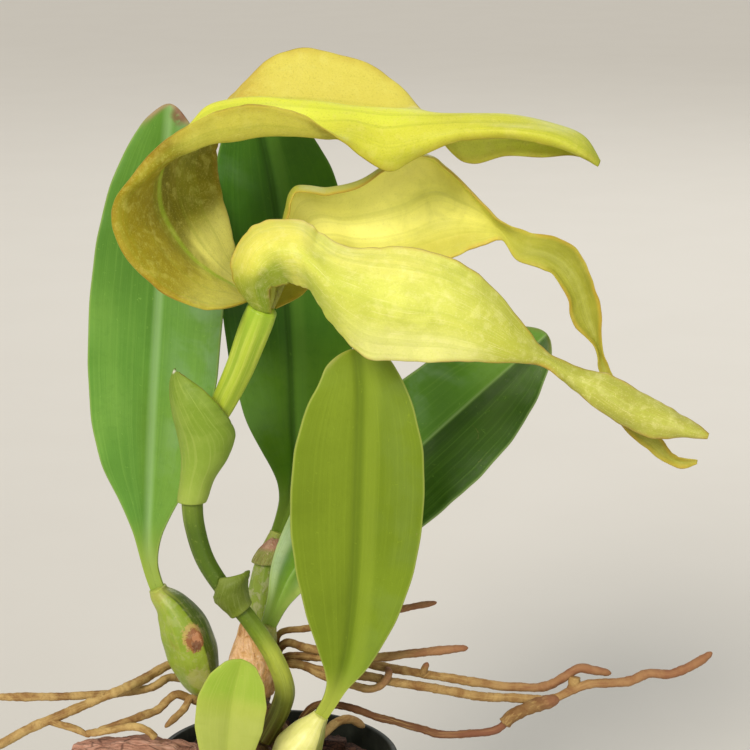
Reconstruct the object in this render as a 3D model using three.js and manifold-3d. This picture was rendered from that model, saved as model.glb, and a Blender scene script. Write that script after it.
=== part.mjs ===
// Potted bulbophyllum in flower, in millimetres, +Z up.
// The origin is the middle of the pot's underside, and the flower opens towards +X.
import * as THREE from "three";
import { mergeVertices } from "three/addons/utils/BufferGeometryUtils.js";
import Module from "manifold-3d";

const wasm = await Module();
wasm.setup();

// Driving dimensions
const potHeight = 60;
const potRimRadius = 32;
const potRimBand = 8;
const potFootRadius = 22.5;
const potWall = 1.8;
const drainHoles = 6;
const drainHoleRadius = 2.5;
const drainCircleRadius = 15;
const barkTop = 56.5;
const chipCount = 24;
const seatGap = 0.4;
const leafSeat = 0.65;
const sepalThickness = 0.8;
const petalThickness = 0.6;
const leafThickness = 1.1;
const stalkThickness = 2.2;
const bractThickness = 0.8;
const sheathThickness = 0.7;

// How finely things are faceted: sides round a body, and steps along and across a sheet
const potSides = 40;
const drainSides = 16;
const barkSides = 32;
const slabSides = 12;
const rhizomeSides = 8;
const podSides = 12;
const stemSides = 9;
const columnSides = 8;
const rootSides = 5;
const rootStepsPerPoint = 1.6;
const leafNet = [14, 4];
const dorsalNet = [34, 10];
const nearLateralNet = [26, 8];
const farLateralNet = [28, 6];
const petalNet = [4, 3];
const stemBractNet = [7, 10];
const floralBractNet = [10, 10];
const bulbSheathNet = [6, 8];
const neckSheathNet = [5, 6];
const mergeTolerance = 1e-4;
const simplifyTolerance = 0.01;

// Colours
const leafGreen = 0x5c9a2c;
const darkLeafGreen = 0x3c7420;
const limeGreen = 0x96ab2c;
const bulbGreen = 0x8fb43c;
const paleBulbGreen = 0xb4c45c;
const stemGreen = 0x78a02c;
const ovaryGreen = 0xa8c038;
const sepalYellow = 0xcfd044;
const dorsalOlive = 0xb8ac2a;
const columnYellow = 0xc4cc6c;
const lipBrown = 0x9a7a30;
const sheathTan = 0xb0906a;
const rootTan = 0xb08a4c;
const rhizomeBrown = 0x8a6a3c;
const barkBrown = 0x5a3e2c;
const slabBrown = 0x8a6656;
const potBlack = 0x22261f;

const vec = (point) => new THREE.Vector3(...point);

// Points on a smooth line through the given ones, t from 0 to 1.
function lineThrough(points) {
  return new THREE.CatmullRomCurve3(points.map(vec), false, "catmullrom", 0.5);
}

// A value read off a list of [t, value] pairs, with straight steps between them.
function readOff(pairs, t) {
  const next = Math.max(1, pairs.findIndex(([at]) => at >= t));
  const [t0, v0] = pairs[next - 1];
  const [t1, v1] = pairs[next];
  return THREE.MathUtils.lerp(v0, v1, (t - t0) / (t1 - t0));
}

function geometryFrom(vertices, faces) {
  const geometry = new THREE.BufferGeometry();
  const numbers = vertices.flatMap((vertex) => vertex.toArray());
  geometry.setAttribute("position", new THREE.Float32BufferAttribute(numbers, 3));
  geometry.setIndex(faces.flat());
  geometry.computeVertexNormals();
  return geometry;
}

// A smooth sheet through a net of rows, each row running from one margin to the other.
function sheetPoints(rows, along, across) {
  const columns = rows[0].map((_, j) => lineThrough(rows.map((row) => row[j])));
  return Array.from({ length: along + 1 }, (_, i) => {
    const row = lineThrough(columns.map((column) => column.getPoint(i / along).toArray()));
    return Array.from({ length: across + 1 }, (_, j) => row.getPoint(j / across));
  });
}

// The sheet given its thickness: both faces are split along the same diagonals and a rim joins them.
function thickSheet(points, thicknessAt) {
  const last = points.length - 1;
  const end = points[0].length - 1;
  const vertices = [];
  for (const side of [1, -1]) {
    for (let i = 0; i <= last; i++) {
      for (let j = 0; j <= end; j++) {
        const lengthways = points[Math.min(i + 1, last)][j].clone().sub(points[Math.max(i - 1, 0)][j]);
        const crossways = points[i][Math.min(j + 1, end)].clone().sub(points[i][Math.max(j - 1, 0)]);
        const normal = lengthways.cross(crossways).normalize();
        vertices.push(points[i][j].clone().addScaledVector(normal, (side * thicknessAt(i / last)) / 2));
      }
    }
  }
  const back = (last + 1) * (end + 1);
  const index = (i, j) => i * (end + 1) + j;
  const faces = [];
  for (let i = 0; i < last; i++) {
    for (let j = 0; j < end; j++) {
      const [a, b, c, d] = [index(i, j), index(i + 1, j), index(i + 1, j + 1), index(i, j + 1)];
      faces.push([a, b, c], [a, c, d]);
      faces.push([back + a, back + c, back + b], [back + a, back + d, back + c]);
    }
  }
  const rim = [];
  for (let i = 0; i < last; i++) rim.push(index(i, 0));
  for (let j = 0; j < end; j++) rim.push(index(last, j));
  for (let i = last; i > 0; i--) rim.push(index(i, end));
  for (let j = end; j > 0; j--) rim.push(index(0, j));
  rim.forEach((p, k) => {
    const q = rim[(k + 1) % rim.length];
    faces.push([p, back + p, back + q], [p, back + q, q]);
  });
  return geometryFrom(vertices, faces);
}

function blade(rows, net, thickness) {
  return thickSheet(sheetPoints(rows, ...net), () => thickness);
}

// A closed round body along a line. radiusAt reads t from 0 to 1 and the angle round the line.
// spare makes it that much larger all round, for the room that a neighbour leaves it.
function roundBody(points, radiusAt, steps, sides, spare = 0, flatten = 1) {
  const first = vec(points[0]);
  const last = vec(points.at(-1));
  first.addScaledVector(first.clone().sub(vec(points[1])).normalize(), spare);
  last.addScaledVector(last.clone().sub(vec(points.at(-2))).normalize(), spare);
  const line = lineThrough([first.toArray(), ...points.slice(1, -1), last.toArray()]);
  const frames = line.computeFrenetFrames(steps, false);
  const vertices = [];
  for (let i = 0; i <= steps; i++) {
    const centre = line.getPointAt(i / steps);
    for (let j = 0; j < sides; j++) {
      const angle = (j / sides) * 2 * Math.PI;
      const radius = radiusAt(i / steps, angle);
      vertices.push(
        centre
          .clone()
          .addScaledVector(frames.normals[i], Math.cos(angle) * (radius + spare))
          .addScaledVector(frames.binormals[i], Math.sin(angle) * (radius * flatten + spare)),
      );
    }
  }
  const foot = vertices.push(line.getPointAt(0)) - 1;
  const top = vertices.push(line.getPointAt(1)) - 1;
  const faces = [];
  for (let j = 0; j < sides; j++) {
    const k = (j + 1) % sides;
    faces.push([foot, k, j], [top, steps * sides + j, steps * sides + k]);
    for (let i = 0; i < steps; i++) {
      const [a, b, c, d] = [i * sides + j, i * sides + k, (i + 1) * sides + k, (i + 1) * sides + j];
      faces.push([a, b, c], [a, c, d]);
    }
  }
  return geometryFrom(vertices, faces);
}

// Joining and cutting of closed solids
function solidOf(geometry) {
  const bare = new THREE.BufferGeometry().setAttribute("position", geometry.getAttribute("position"));
  bare.setIndex(geometry.index);
  const merged = mergeVertices(bare, mergeTolerance);
  return new wasm.Manifold(
    new wasm.Mesh({
      numProp: 3,
      vertProperties: merged.getAttribute("position").array,
      triVerts: new Uint32Array(merged.index.array),
    }),
  );
}

function joined(geometries) {
  return geometries.map(solidOf).reduce((sum, next) => sum.add(next));
}

function cutBy(solid, geometries) {
  return geometries.map(solidOf).reduce((rest, next) => rest.subtract(next), solid);
}

// The largest body of a solid, as a geometry: crumbs that a cut leaves loose are dropped.
function wholePiece(solid) {
  const bodies = solid.decompose().sort((a, b) => b.volume() - a.volume());
  const mesh = bodies[0].simplify(simplifyTolerance).getMesh();
  const geometry = new THREE.BufferGeometry();
  geometry.setAttribute("position", new THREE.BufferAttribute(new Float32Array(mesh.vertProperties), 3));
  geometry.setIndex(new THREE.BufferAttribute(new Uint32Array(mesh.triVerts), 1));
  geometry.computeVertexNormals();
  return geometry;
}

// The same small generator each time, so that the bark lies alike in every build.
function seededDraw(seed) {
  let state = seed;
  return () => {
    state = (state * 1664525 + 1013904223) % 4294967296;
    return state / 4294967296;
  };
}

const plant = new THREE.Group();

function addPiece(name, geometry, color, roughness = 0.6) {
  const material = new THREE.MeshStandardMaterial({ color, roughness, metalness: 0 });
  const mesh = new THREE.Mesh(geometry, material);
  mesh.name = name;
  plant.add(mesh);
}

// Pot
const wallTopRadius = potRimRadius - potWall;
const shoulderHeight = potHeight - potRimBand;
const shoulderRadius = potRimRadius - 3;

function pot() {
  const profile = [
    [0, 0],
    [potFootRadius - 1, 0],
    [potFootRadius, 1],
    [shoulderRadius, shoulderHeight],
    [potRimRadius - 0.6, shoulderHeight + 0.6],
    [potRimRadius, potHeight - 0.6],
    [potRimRadius - 0.6, potHeight],
    [wallTopRadius, potHeight],
    [wallTopRadius - 0.6, shoulderHeight + 1],
    [shoulderRadius - potWall, shoulderHeight - 2],
    [potFootRadius - potWall + 0.2, potWall],
    [0, potWall],
  ];
  const shell = new THREE.LatheGeometry(profile.map(([r, z]) => new THREE.Vector2(r, z)), potSides);
  shell.rotateX(Math.PI / 2);
  const drains = Array.from({ length: drainHoles }, (_, k) => {
    const angle = (k / drainHoles) * 2 * Math.PI;
    const drain = new THREE.CylinderGeometry(drainHoleRadius, drainHoleRadius, 3 * potWall, drainSides);
    drain.rotateX(Math.PI / 2);
    drain.translate(drainCircleRadius * Math.cos(angle), drainCircleRadius * Math.sin(angle), 0);
    return drain;
  });
  return wholePiece(cutBy(joined([shell]), drains));
}

// Pseudobulbs: each is a pod from its foot to the neck that carries its leaf.
const bulbs = {
  left: {
    line: [
      [-18.6, 9, 73], [-20.7, 8.8, 79.5], [-23.8, 8.7, 90.5],
      [-27.2, 8.8, 97.4], [-30.3, 9, 101], [-31.4, 9, 103.2],
    ],
    radii: [[0, 2.6], [0.12, 5], [0.35, 7.1], [0.6, 6.8], [0.76, 5.2], [0.88, 3.6], [1, 2.2]],
  },
  back: {
    line: [[-4.5, 15, 81], [-4.5, 16, 91.5], [-3.3, 18, 105], [0, 20, 115]],
    radii: [[0, 2], [0.15, 3.4], [0.45, 4], [0.75, 3], [1, 1.9]],
  },
  right: {
    line: [[-6.5, 5, 74], [-6.3, 5, 79], [-4.5, 5.2, 87], [-2, 6, 94]],
    radii: [[0, 2.2], [0.2, 4.6], [0.5, 5.2], [0.8, 3.6], [1, 2]],
  },
  front: {
    line: [[2.5, -11, 58.5], [5.2, -12, 64.5], [8.5, -12.3, 70.5], [12, -12.5, 76]],
    radii: [[0, 3], [0.2, 5.8], [0.45, 6.5], [0.75, 4.4], [0.9, 2.7], [1, 2.1]],
  },
  small: {
    line: [[-9, -16, 52.5], [-10, -18, 56.5], [-11, -20, 60.5]],
    radii: [[0, 2.2], [0.35, 4], [0.75, 3.2], [1, 1.8]],
  },
};

function bulbBody(bulb, spare = 0) {
  const ridges = (angle) => 1 + 0.05 * Math.cos(4 * angle);
  const radiusAt = (t, angle) => readOff(bulb.radii, t) * ridges(angle);
  return roundBody(bulb.line, radiusAt, 9, podSides, spare);
}

// Leaves: a spine from the stalk to the tip, and half the width along it.
const leaves = {
  left: {
    bulb: "left",
    spine: [
      [-33, 9.4, 108.5], [-33.5, 10, 116], [-33, 11, 129], [-32, 12, 148],
      [-30.5, 13, 169], [-29, 14, 189.5], [-28, 15, 210], [-26, 16, 229.5],
    ],
    widths: [
      [0, 1.8], [0.06, 2], [0.12, 3.6], [0.18, 7], [0.26, 12.4], [0.35, 15.4], [0.47, 17],
      [0.6, 17.4], [0.72, 16.4], [0.83, 13.4], [0.92, 9], [0.97, 5.6], [1, 1.2],
    ],
    facing: [-0.1, -1, 0.1],
    fold: 0.2,
  },
  back: {
    bulb: "back",
    spine: [
      [1.5, 20.6, 119.2], [3.4, 20.6, 125], [4.4, 20, 134], [4, 20, 147], [3.4, 21, 165],
      [2, 22, 185.5], [-1, 22, 209], [-6, 20, 233.5],
    ],
    widths: [
      [0, 1.7], [0.05, 1.9], [0.12, 3.8], [0.2, 8.4], [0.28, 12.6], [0.4, 16], [0.55, 17.4],
      [0.7, 17.6], [0.8, 15.8], [0.88, 12], [0.95, 7.6], [1, 1.4],
    ],
    facing: [0.15, -1, 0.1],
    fold: 0.18,
  },
  right: {
    bulb: "right",
    spine: [
      [0.8, 6.6, 101], [5, 8, 109], [13, 10.5, 117.5], [24, 14, 126.5],
      [37.5, 19, 138.5], [51.5, 23, 150.5], [62.5, 25, 160], [71, 26, 167.5],
    ],
    widths: [
      [0, 1.8], [0.07, 2.8], [0.14, 5.6], [0.24, 10], [0.36, 14], [0.5, 16], [0.64, 16.4],
      [0.76, 15], [0.87, 11.6], [0.95, 7], [1, 1.4],
    ],
    facing: [0.1, -1, 0.35],
    fold: 0.3,
  },
  front: {
    bulb: "front",
    spine: [
      [14.3, -12.8, 80], [16.5, -13, 85.5], [18.4, -14, 93], [19.8, -15.5, 105], [20.6, -17, 117.5],
      [21, -18, 130], [21.4, -19, 141], [21.8, -19, 153], [22, -19, 164], [21, -18, 174],
    ],
    widths: [
      [0, 1.8], [0.05, 1.9], [0.1, 2.6], [0.18, 6.6], [0.3, 11.4], [0.42, 14.6], [0.53, 16.3],
      [0.64, 16.7], [0.76, 15.9], [0.87, 12.9], [0.95, 8.8], [1, 1.6],
    ],
    facing: [0.08, -1, 0.12],
    fold: 0.16,
  },
  small: {
    bulb: "small",
    spine: [[-11.3, -21.3, 63], [-11.6, -23, 71], [-10.2, -24.5, 83.5], [-7.5, -24, 95.5]],
    widths: [[0, 1.6], [0.14, 3.6], [0.3, 6.8], [0.5, 8.6], [0.7, 8.8], [0.86, 7], [0.95, 4.4], [1, 1.2]],
    facing: [0.05, -1, 0.15],
    fold: 0.2,
  },
};

// Rows of five points across a leaf, folded a little along its midrib.
function leafRows(leaf) {
  const bulb = bulbs[leaf.bulb];
  const neck = vec(bulb.line.at(-1));
  const foot = neck.clone().addScaledVector(vec(leaf.spine[0]).sub(neck).normalize(), leafSeat);
  const spine = lineThrough([foot.toArray(), ...leaf.spine]);
  return leaf.widths.map(([t, half]) => {
    const centre = spine.getPointAt(t);
    const side = spine.getTangentAt(t).cross(vec(leaf.facing)).normalize();
    const front = side.clone().cross(spine.getTangentAt(t));
    return [-1, -0.5, 0, 0.5, 1].map((s) =>
      centre
        .clone()
        .addScaledVector(side, s * half)
        .addScaledVector(front, leaf.fold * Math.abs(s) ** 1.4 * half)
        .toArray(),
    );
  });
}

// The stalk is thicker than the blade, which is one thickness from a fifth of the length on.
function leafBlade(leaf) {
  const thicknessAt = (t) => leafThickness + (stalkThickness - leafThickness) * Math.max(0, 1 - t / 0.2);
  return thickSheet(sheetPoints(leafRows(leaf), ...leafNet), thicknessAt);
}

// Flowering stem, with the ovary that it carries
const stemLine = [
  [-3.6, -6.4, 66], [-1, -6.2, 70.5], [1.4, -6.2, 75.5], [2.4, -7, 81.5], [-0.5, -8, 90.5], [-6, -9, 100],
  [-12.5, -9, 108.5], [-17.5, -9, 117], [-20, -8.5, 126], [-20.5, -8, 133],
];
const stemRadii = [[0, 2.5], [0.15, 2.7], [0.35, 2.4], [0.6, 2.2], [0.9, 2.6], [1, 2.8]];
const ovaryLine = [
  [-20.5, -8, 134], [-19, -8.6, 141.5], [-16, -9.4, 151], [-12, -10.8, 158.5],
  [-7.5, -15, 168.5], [-4.2, -18.6, 177.5], [-1.6, -19.6, 184.2],
];
const ovaryRadii = [[0, 2.2], [0.3, 2.8], [0.55, 3.4], [0.85, 4], [0.95, 4.1], [1, 3.6]];

function stemBody(spare = 0) {
  return roundBody(stemLine, (t) => readOff(stemRadii, t), 20, stemSides, spare);
}

function ovaryBody() {
  const grooves = (angle) => 1 + 0.06 * Math.cos(6 * angle);
  return roundBody(ovaryLine, (t, angle) => readOff(ovaryRadii, t) * grooves(angle), 14, podSides);
}

// Bracts and sheaths wrap round a line: each row gives its centre, its two radii,
// the middle of the wrap and half of the wrap in degrees, counted from +X towards +Y,
// and how far the row's +X side is tilted up.
function wrapRows(rows, points) {
  return rows.map(([x, y, z, across, deep, middle, half, tilt = 0]) =>
    Array.from({ length: points }, (_, k) => {
      const angle = THREE.MathUtils.degToRad(middle + half * ((2 * k) / (points - 1) - 1));
      const rise = THREE.MathUtils.degToRad(tilt);
      const reach = across * Math.cos(angle);
      return [x + reach * Math.cos(rise), y + deep * Math.sin(angle), z + reach * Math.sin(rise)];
    }),
  );
}

const spatheRows = [
  [-20.5, -8, 132, 3.5, 3.5, 240, 165],
  [-19, -8.4, 138, 4, 4, 240, 155],
  [-17, -9.2, 144, 5.6, 5, 238, 145],
  [-16.4, -9.8, 150, 7, 6.2, 234, 130],
  [-17.2, -10.3, 155, 7.2, 6.9, 228, 108],
  [-17.8, -10.4, 159.5, 7.2, 7, 220, 90],
  [-18.6, -10.2, 163.5, 6.4, 6, 210, 74],
  [-20.6, -10, 166.8, 3.4, 4, 200, 34],
];

const stemBractRows = [
  [-8.3, -9, 103.2, 3, 3, 270, 165, 37],
  [-9.1, -9, 104.6, 3.25, 3.25, 270, 152, 37],
  [-10, -9, 106.3, 3.9, 3.9, 276, 130, 35],
  [-10.9, -9, 108.6, 4.8, 4.7, 283, 100, 32],
  [-11, -9, 111, 5.3, 5, 290, 76, 28],
  [-9.6, -9, 113.6, 4, 4.1, 305, 50, 24],
];

const bulbSheathRows = [
  [-6.6, 5, 75.5, 5.6, 5.6, 240, 120],
  [-6.4, 5, 80, 6.5, 6.4, 240, 125],
  [-5.6, 5, 84.5, 6.7, 6.5, 240, 115],
  [-4.8, 5, 88.5, 6.3, 6.2, 235, 95],
  [-4.4, 5, 92.5, 5.4, 5.6, 230, 60],
  [-4.6, 4.6, 96.5, 4.4, 4.6, 220, 25],
];

const neckSheathRows = [
  [-2.8, 18.3, 107.4, 4.2, 4.2, 250, 62],
  [-2.2, 18.7, 109.2, 4.05, 4.05, 253, 60],
  [-1.5, 19.1, 111.2, 3.8, 3.8, 258, 50],
  [-0.8, 19.5, 113, 3.6, 3.6, 262, 34],
  [-0.3, 19.8, 114.4, 3.4, 3.4, 266, 14],
];

// Flower. Each row runs across a sepal from the margin nearer the front to the one further back.
const dorsalRows = [
  [
    [-4.8, -20.5, 186.3], [-4.9, -19.7, 186.4], [-4.9, -18.9, 186.4],
    [-4.6, -18.2, 186.4], [-4.3, -17.6, 186.3], [-3.8, -17.1, 186.2],
  ],
  [
    [-10, -29, 186.5], [-9.5, -25, 187], [-9.5, -20, 188.5],
    [-9, -16, 189.5], [-8.5, -11, 191], [-7.5, -7, 192.5],
  ],
  [
    [-16.5, -33, 187.5], [-16, -28, 189], [-15, -22, 190.5],
    [-13.5, -16, 192.5], [-11.5, -10, 195], [-9, -5, 197.5],
  ],
  [
    [-24.5, -34, 191.5], [-23, -30, 193], [-20.5, -23, 195],
    [-18.5, -15, 196.5], [-14.5, -8, 200], [-10.5, -3, 203.5],
  ],
  [
    [-32, -34, 198.5], [-29, -31, 199.5], [-26, -24, 201.5],
    [-22.5, -15, 202], [-17.5, -7, 205], [-12, -2, 209],
  ],
  [
    [-36, -33, 206.5], [-33, -31, 207], [-29, -24, 207.5],
    [-25.5, -15, 208.5], [-19, -6, 210.5], [-13, 0, 213.5],
  ],
  [
    [-35.5, -32, 213], [-32.5, -30, 213.5], [-29, -24, 214.5],
    [-26, -15, 214.5], [-20, -5, 215.5], [-13.5, 2, 217.5],
  ],
  [
    [-30.5, -31, 220], [-27.5, -30, 219], [-26, -24, 218.5],
    [-25, -15, 219], [-19.5, -4, 219], [-13.5, 3, 220],
  ],
  [
    [-25.5, -30, 225.5], [-22.5, -28, 222.5], [-21.5, -21, 222.5],
    [-22.5, -14, 224], [-18, -4, 223], [-13, 4, 223],
  ],
  [
    [-20.5, -29, 229], [-18, -26, 224], [-18, -19, 225.5],
    [-18.5, -13, 228.5], [-15, -4, 226.5], [-12, 4, 227],
  ],
  [
    [-15, -28, 232], [-13.5, -24, 225.5], [-13.5, -17, 228],
    [-14.5, -12, 232.5], [-12, -5, 229.3], [-10, 4, 232.5],
  ],
  [[-8, -27, 234.5], [-7.5, -22, 226], [-7.5, -15, 229.5], [-8.5, -11, 234], [-7, -5, 231.5], [-5, 4, 238]],
  [[-1, -27, 235], [-0.5, -21, 227], [-1, -14, 230], [-2, -11, 234.5], [-0.5, -5, 232], [1, 4, 243]],
  [[6.5, -27, 233.5], [7, -21, 227], [6.5, -15, 230], [6, -12, 234], [7, -6, 231.8], [8.5, 3, 245]],
  [
    [12.5, -27, 230.5], [14, -22, 226.5], [13.5, -17, 229.5],
    [13, -12, 233.5], [15, -6.5, 231.6], [17, 2, 243.5],
  ],
  [[20, -25, 224.5], [20, -22, 226.5], [20, -17, 229.5], [20, -12, 232.5], [22, -6.5, 231], [25, 1, 241]],
  [[28.5, -19, 218], [28, -21, 223.5], [27.5, -18, 228], [28, -13, 232], [29.5, -7, 230.6], [32, -1, 236]],
  [
    [35, -18, 220.5], [35, -20, 224.5], [34.5, -18, 228.5],
    [34.5, -13, 231.5], [36.5, -7, 231], [38, -4, 229.5],
  ],
  [
    [42, -19, 224], [41.5, -20, 226.5], [41.5, -18, 229],
    [41.5, -14, 231], [42, -8, 228], [43.5, -6, 221.5],
  ],
  [
    [49.5, -21, 226], [49.5, -22, 228], [49.5, -20, 229.5],
    [49.5, -15, 231], [49.5, -9, 225], [49.5, -8, 218],
  ],
  [
    [58.5, -24, 226.5], [58, -25, 228.5], [58, -22, 229.5],
    [58.5, -17, 231], [58, -12, 225.5], [57.5, -12, 220.5],
  ],
  [
    [66.5, -27, 225.5], [67, -28, 227.5], [67, -25, 229],
    [67.5, -20, 229.5], [67, -16, 225.5], [65.5, -17, 221],
  ],
  [[74, -28, 223], [74, -29, 224.5], [74.5, -27, 226], [75, -23, 227], [74.5, -20, 224], [73.5, -21, 222]],
  [
    [78.6, -26.2, 220.2], [78.8, -26.2, 220.7], [79, -25.8, 221.2],
    [79.1, -25.2, 221.4], [79, -24.7, 221], [78.8, -24.3, 220.5],
  ],
];

const nearLateralRows = [
  [[-4, -21.9, 185.4], [-3.2, -22.6, 185], [-2, -22.9, 184.6], [-0.5, -22.7, 184.1], [0.7, -21.9, 183.8]],
  [[-8, -24, 191.5], [-6, -28, 192], [-3.5, -30, 192.5], [-1.5, -29, 191.5], [0.5, -27, 190.5]],
  [[-8.5, -24, 197.5], [-5.5, -30, 197.5], [-2.5, -33, 196.5], [0, -31, 194.5], [2, -28, 191.5]],
  [[-5.5, -24, 203.5], [-3, -31, 202.5], [0, -34, 200], [2.5, -33, 196.5], [4.5, -29, 192.5]],
  [[0.5, -24, 207], [2, -31, 205], [3.5, -36, 202], [5.5, -35, 197.5], [7, -30, 192.5]],
  [[8, -25, 207], [8, -32, 205], [8, -37, 201.5], [9, -36, 197], [10, -31, 191.5]],
  [[13, -27, 204.5], [12, -33, 202], [11.5, -38, 199], [12, -37, 194], [13, -32, 187.5]],
  [[18.5, -29, 201.5], [17, -35, 199], [16, -39, 195], [16.5, -38, 189], [17.5, -33, 181]],
  [[26.5, -30, 201.5], [24.5, -36, 197.5], [23.5, -40, 192], [23.5, -38, 183.5], [24, -34, 175.5]],
  [[35.5, -31, 201.5], [33.5, -37, 196.5], [32.5, -40, 189.5], [32, -38, 182], [31.5, -35, 175]],
  [[45, -31, 198.5], [42.5, -37, 194], [42, -39, 188], [41.5, -38, 181.5], [41, -36, 175]],
  [[54, -31, 192], [52.5, -36, 188.5], [51, -38, 184], [50.5, -38, 179.5], [50, -36, 175]],
  [[61.5, -31, 182.5], [60.5, -34, 180.5], [59, -36, 179], [58.5, -36, 176.5], [58, -35, 174.5]],
  [[67.5, -31, 176], [67, -32, 175.5], [66.5, -33, 175], [66.5, -33, 174], [66, -33, 173]],
  [[74.5, -31, 172.5], [74, -33, 171.5], [73.5, -34, 170.5], [73, -34, 169.5], [72.5, -33, 168]],
  [[81.5, -32, 171], [80.5, -35, 169.5], [79.5, -36, 168], [78.5, -36, 166], [78, -35, 164]],
  [[89, -34, 167.5], [87.5, -37, 166], [86.5, -39, 164], [85.5, -39, 162], [85, -37, 159.5]],
  [[95.5, -36, 164], [94.5, -39, 163], [93.5, -40, 161.5], [93, -40, 159.5], [92.5, -39, 157]],
  [[101.5, -38, 161], [100.5, -40, 160.5], [100, -41, 159.5], [99.5, -41, 158.5], [99.5, -40, 157.5]],
  [
    [105.2, -40, 158.4], [105, -40.4, 158.1], [104.9, -40.5, 157.8],
    [104.8, -40.5, 157.5], [104.7, -40.3, 157.2],
  ],
];

const farLateralRows = [
  [
    [-2.6, -16.4, 186], [-1.6, -16.3, 185.6], [-0.5, -16.5, 185.2],
    [0.5, -17.1, 184.8], [1.3, -18, 184.4], [1.7, -19, 184.2],
  ],
  [[0, -14, 190.5], [0.5, -11, 189.5], [1.5, -9, 188], [3.5, -9, 187], [5.5, -11, 186.5], [7, -14, 186]],
  [[2, -14, 198], [2.5, -9, 198], [4, -5, 195.5], [6.5, -4, 193], [9, -7, 190.5], [11, -12, 189]],
  [[4.5, -12, 206], [4, -7, 206.5], [6, -3, 204], [9.5, -1, 200], [12.5, -4, 196], [15, -10, 192.5]],
  [[6.5, -10, 211], [6.5, -5, 211.5], [9.5, -1, 207], [13, 1, 201.5], [17, -3, 196.5], [20, -9, 192]],
  [[14.5, -8, 210.5], [14.5, -3, 211], [16.5, 1, 206], [19, 3, 200.5], [22, -1, 195], [25, -8, 191.5]],
  [[22.5, -6, 212], [22.5, -1, 212.5], [24, 3, 207], [26, 4, 201], [29, 0, 195], [31.5, -7, 191.5]],
  [
    [29.5, -3, 216.5], [30, 1, 216.5], [31.5, 5, 209.5],
    [33.5, 5, 202.5], [35.5, 1, 196.5], [37.5, -6, 192],
  ],
  [[38, 0, 218.5], [38, 3, 218], [39.5, 6, 212], [41, 5, 206], [43, 1, 199], [44.5, -6, 194]],
  [[43.5, -1, 216], [44, 3, 214.5], [46, 5, 210], [47.5, 4, 204.5], [49, 0, 200], [50.5, -5, 196.5]],
  [[50, -3, 209.5], [50.5, 1, 208.5], [52, 2, 206], [53, 1, 203], [54, -2, 200], [55, -5, 198]],
  [
    [56.5, -7, 204], [56.6, -5, 203], [56.9, -4, 201.8],
    [57.2, -4, 200.7], [57.4, -5, 199.6], [57.5, -6, 198.4],
  ],
  [
    [63.5, -11, 201.5], [63, -10, 200], [62.5, -9.5, 198.5],
    [61.5, -9.5, 197], [61, -10, 195.5], [60.5, -11, 194.7],
  ],
  [
    [70, -14, 201], [69.5, -13, 199.5], [68.5, -12, 197.5],
    [67.5, -12, 196], [66.5, -13, 194.5], [65.5, -14, 193.5],
  ],
  [
    [75, -17, 198], [74, -15, 196.5], [73, -14, 195],
    [72, -14, 193.5], [70.5, -15, 192], [69.8, -17, 191.5],
  ],
  [
    [78.5, -19, 191.5], [77.5, -17, 190.5], [76.5, -16, 189.5],
    [75, -16, 188.5], [73.5, -17, 187.5], [72.5, -19, 187],
  ],
  [
    [80.5, -21, 184], [79.5, -19, 183.2], [78.5, -18, 182.5],
    [77, -18, 181.8], [75.5, -19, 181.3], [74, -21, 181],
  ],
  [
    [81, -22, 176], [80.6, -21, 175.8], [80.2, -20.5, 175.7],
    [79.8, -20.5, 175.6], [79.4, -21, 175.5], [79, -22, 175.5],
  ],
  [
    [82.6, -23, 170.2], [82.3, -22.3, 170], [81.9, -22, 169.9],
    [81.5, -22, 169.7], [81, -22.3, 169.5], [80.6, -23, 169.4],
  ],
  [
    [86, -25, 165], [85.3, -24.3, 164.5], [84.6, -24, 164],
    [83.8, -24, 163.4], [83, -24.3, 162.9], [82.2, -25, 162.4],
  ],
  [
    [91, -28, 159], [90.3, -27.2, 158.3], [89.5, -27, 157.6],
    [88.6, -27, 156.9], [87.8, -27.2, 156.2], [87, -28, 155.5],
  ],
  [
    [95.5, -30, 154], [95, -29.2, 153.4], [94.4, -29, 152.8],
    [93.8, -29, 152.3], [93.1, -29.2, 151.8], [92.4, -30, 151.3],
  ],
  [
    [97.8, -31, 150.8], [97.6, -30.3, 150.3], [97.3, -30, 149.9],
    [97, -30, 149.4], [96.8, -30.3, 149], [96.5, -31, 148.5],
  ],
  [
    [100.7, -32, 150], [100.6, -31.3, 149.5], [100.5, -31, 149],
    [100.4, -31, 148.5], [100.3, -31.3, 148], [100.2, -32, 147.5],
  ],
  [
    [103.6, -33, 149.9], [103.6, -32.8, 149.7], [103.6, -32.7, 149.5],
    [103.5, -32.7, 149.3], [103.5, -32.8, 149.1], [103.5, -33, 148.9],
  ],
];

// Petals, lip and column stand hidden between the sepals' bases.
const leftPetalRows = [
  [[-3.4, -20.3, 185.6], [-3.5, -19.6, 185.6], [-3.4, -18.9, 185.6]],
  [[-3.9, -20.9, 188.6], [-4.2, -19.4, 189], [-3.9, -18, 188.6]],
  [[-4.2, -20.8, 192], [-4.6, -19.4, 193], [-4.2, -18.2, 192]],
  [[-4.2, -20, 195.2], [-4.3, -19.4, 195.6], [-4.2, -18.9, 195.2]],
];
const rightPetalRows = [
  [[-0.2, -21.6, 184.4], [0.1, -21.2, 184.4], [0.4, -20.7, 184.4]],
  [[0.4, -22.4, 187.6], [1, -21.4, 188], [1.4, -20.6, 187.6]],
  [[0.4, -22.6, 191], [1.2, -21.8, 192], [1.6, -21, 191]],
  [[0.6, -22.2, 194.2], [0.9, -21.9, 194.6], [1.2, -21.6, 194.2]],
];
const columnLine = [[-1.8, -19.6, 185.2], [-2, -19.6, 187.7], [-1.6, -19.4, 191], [0, -19.2, 193.6]];
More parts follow.
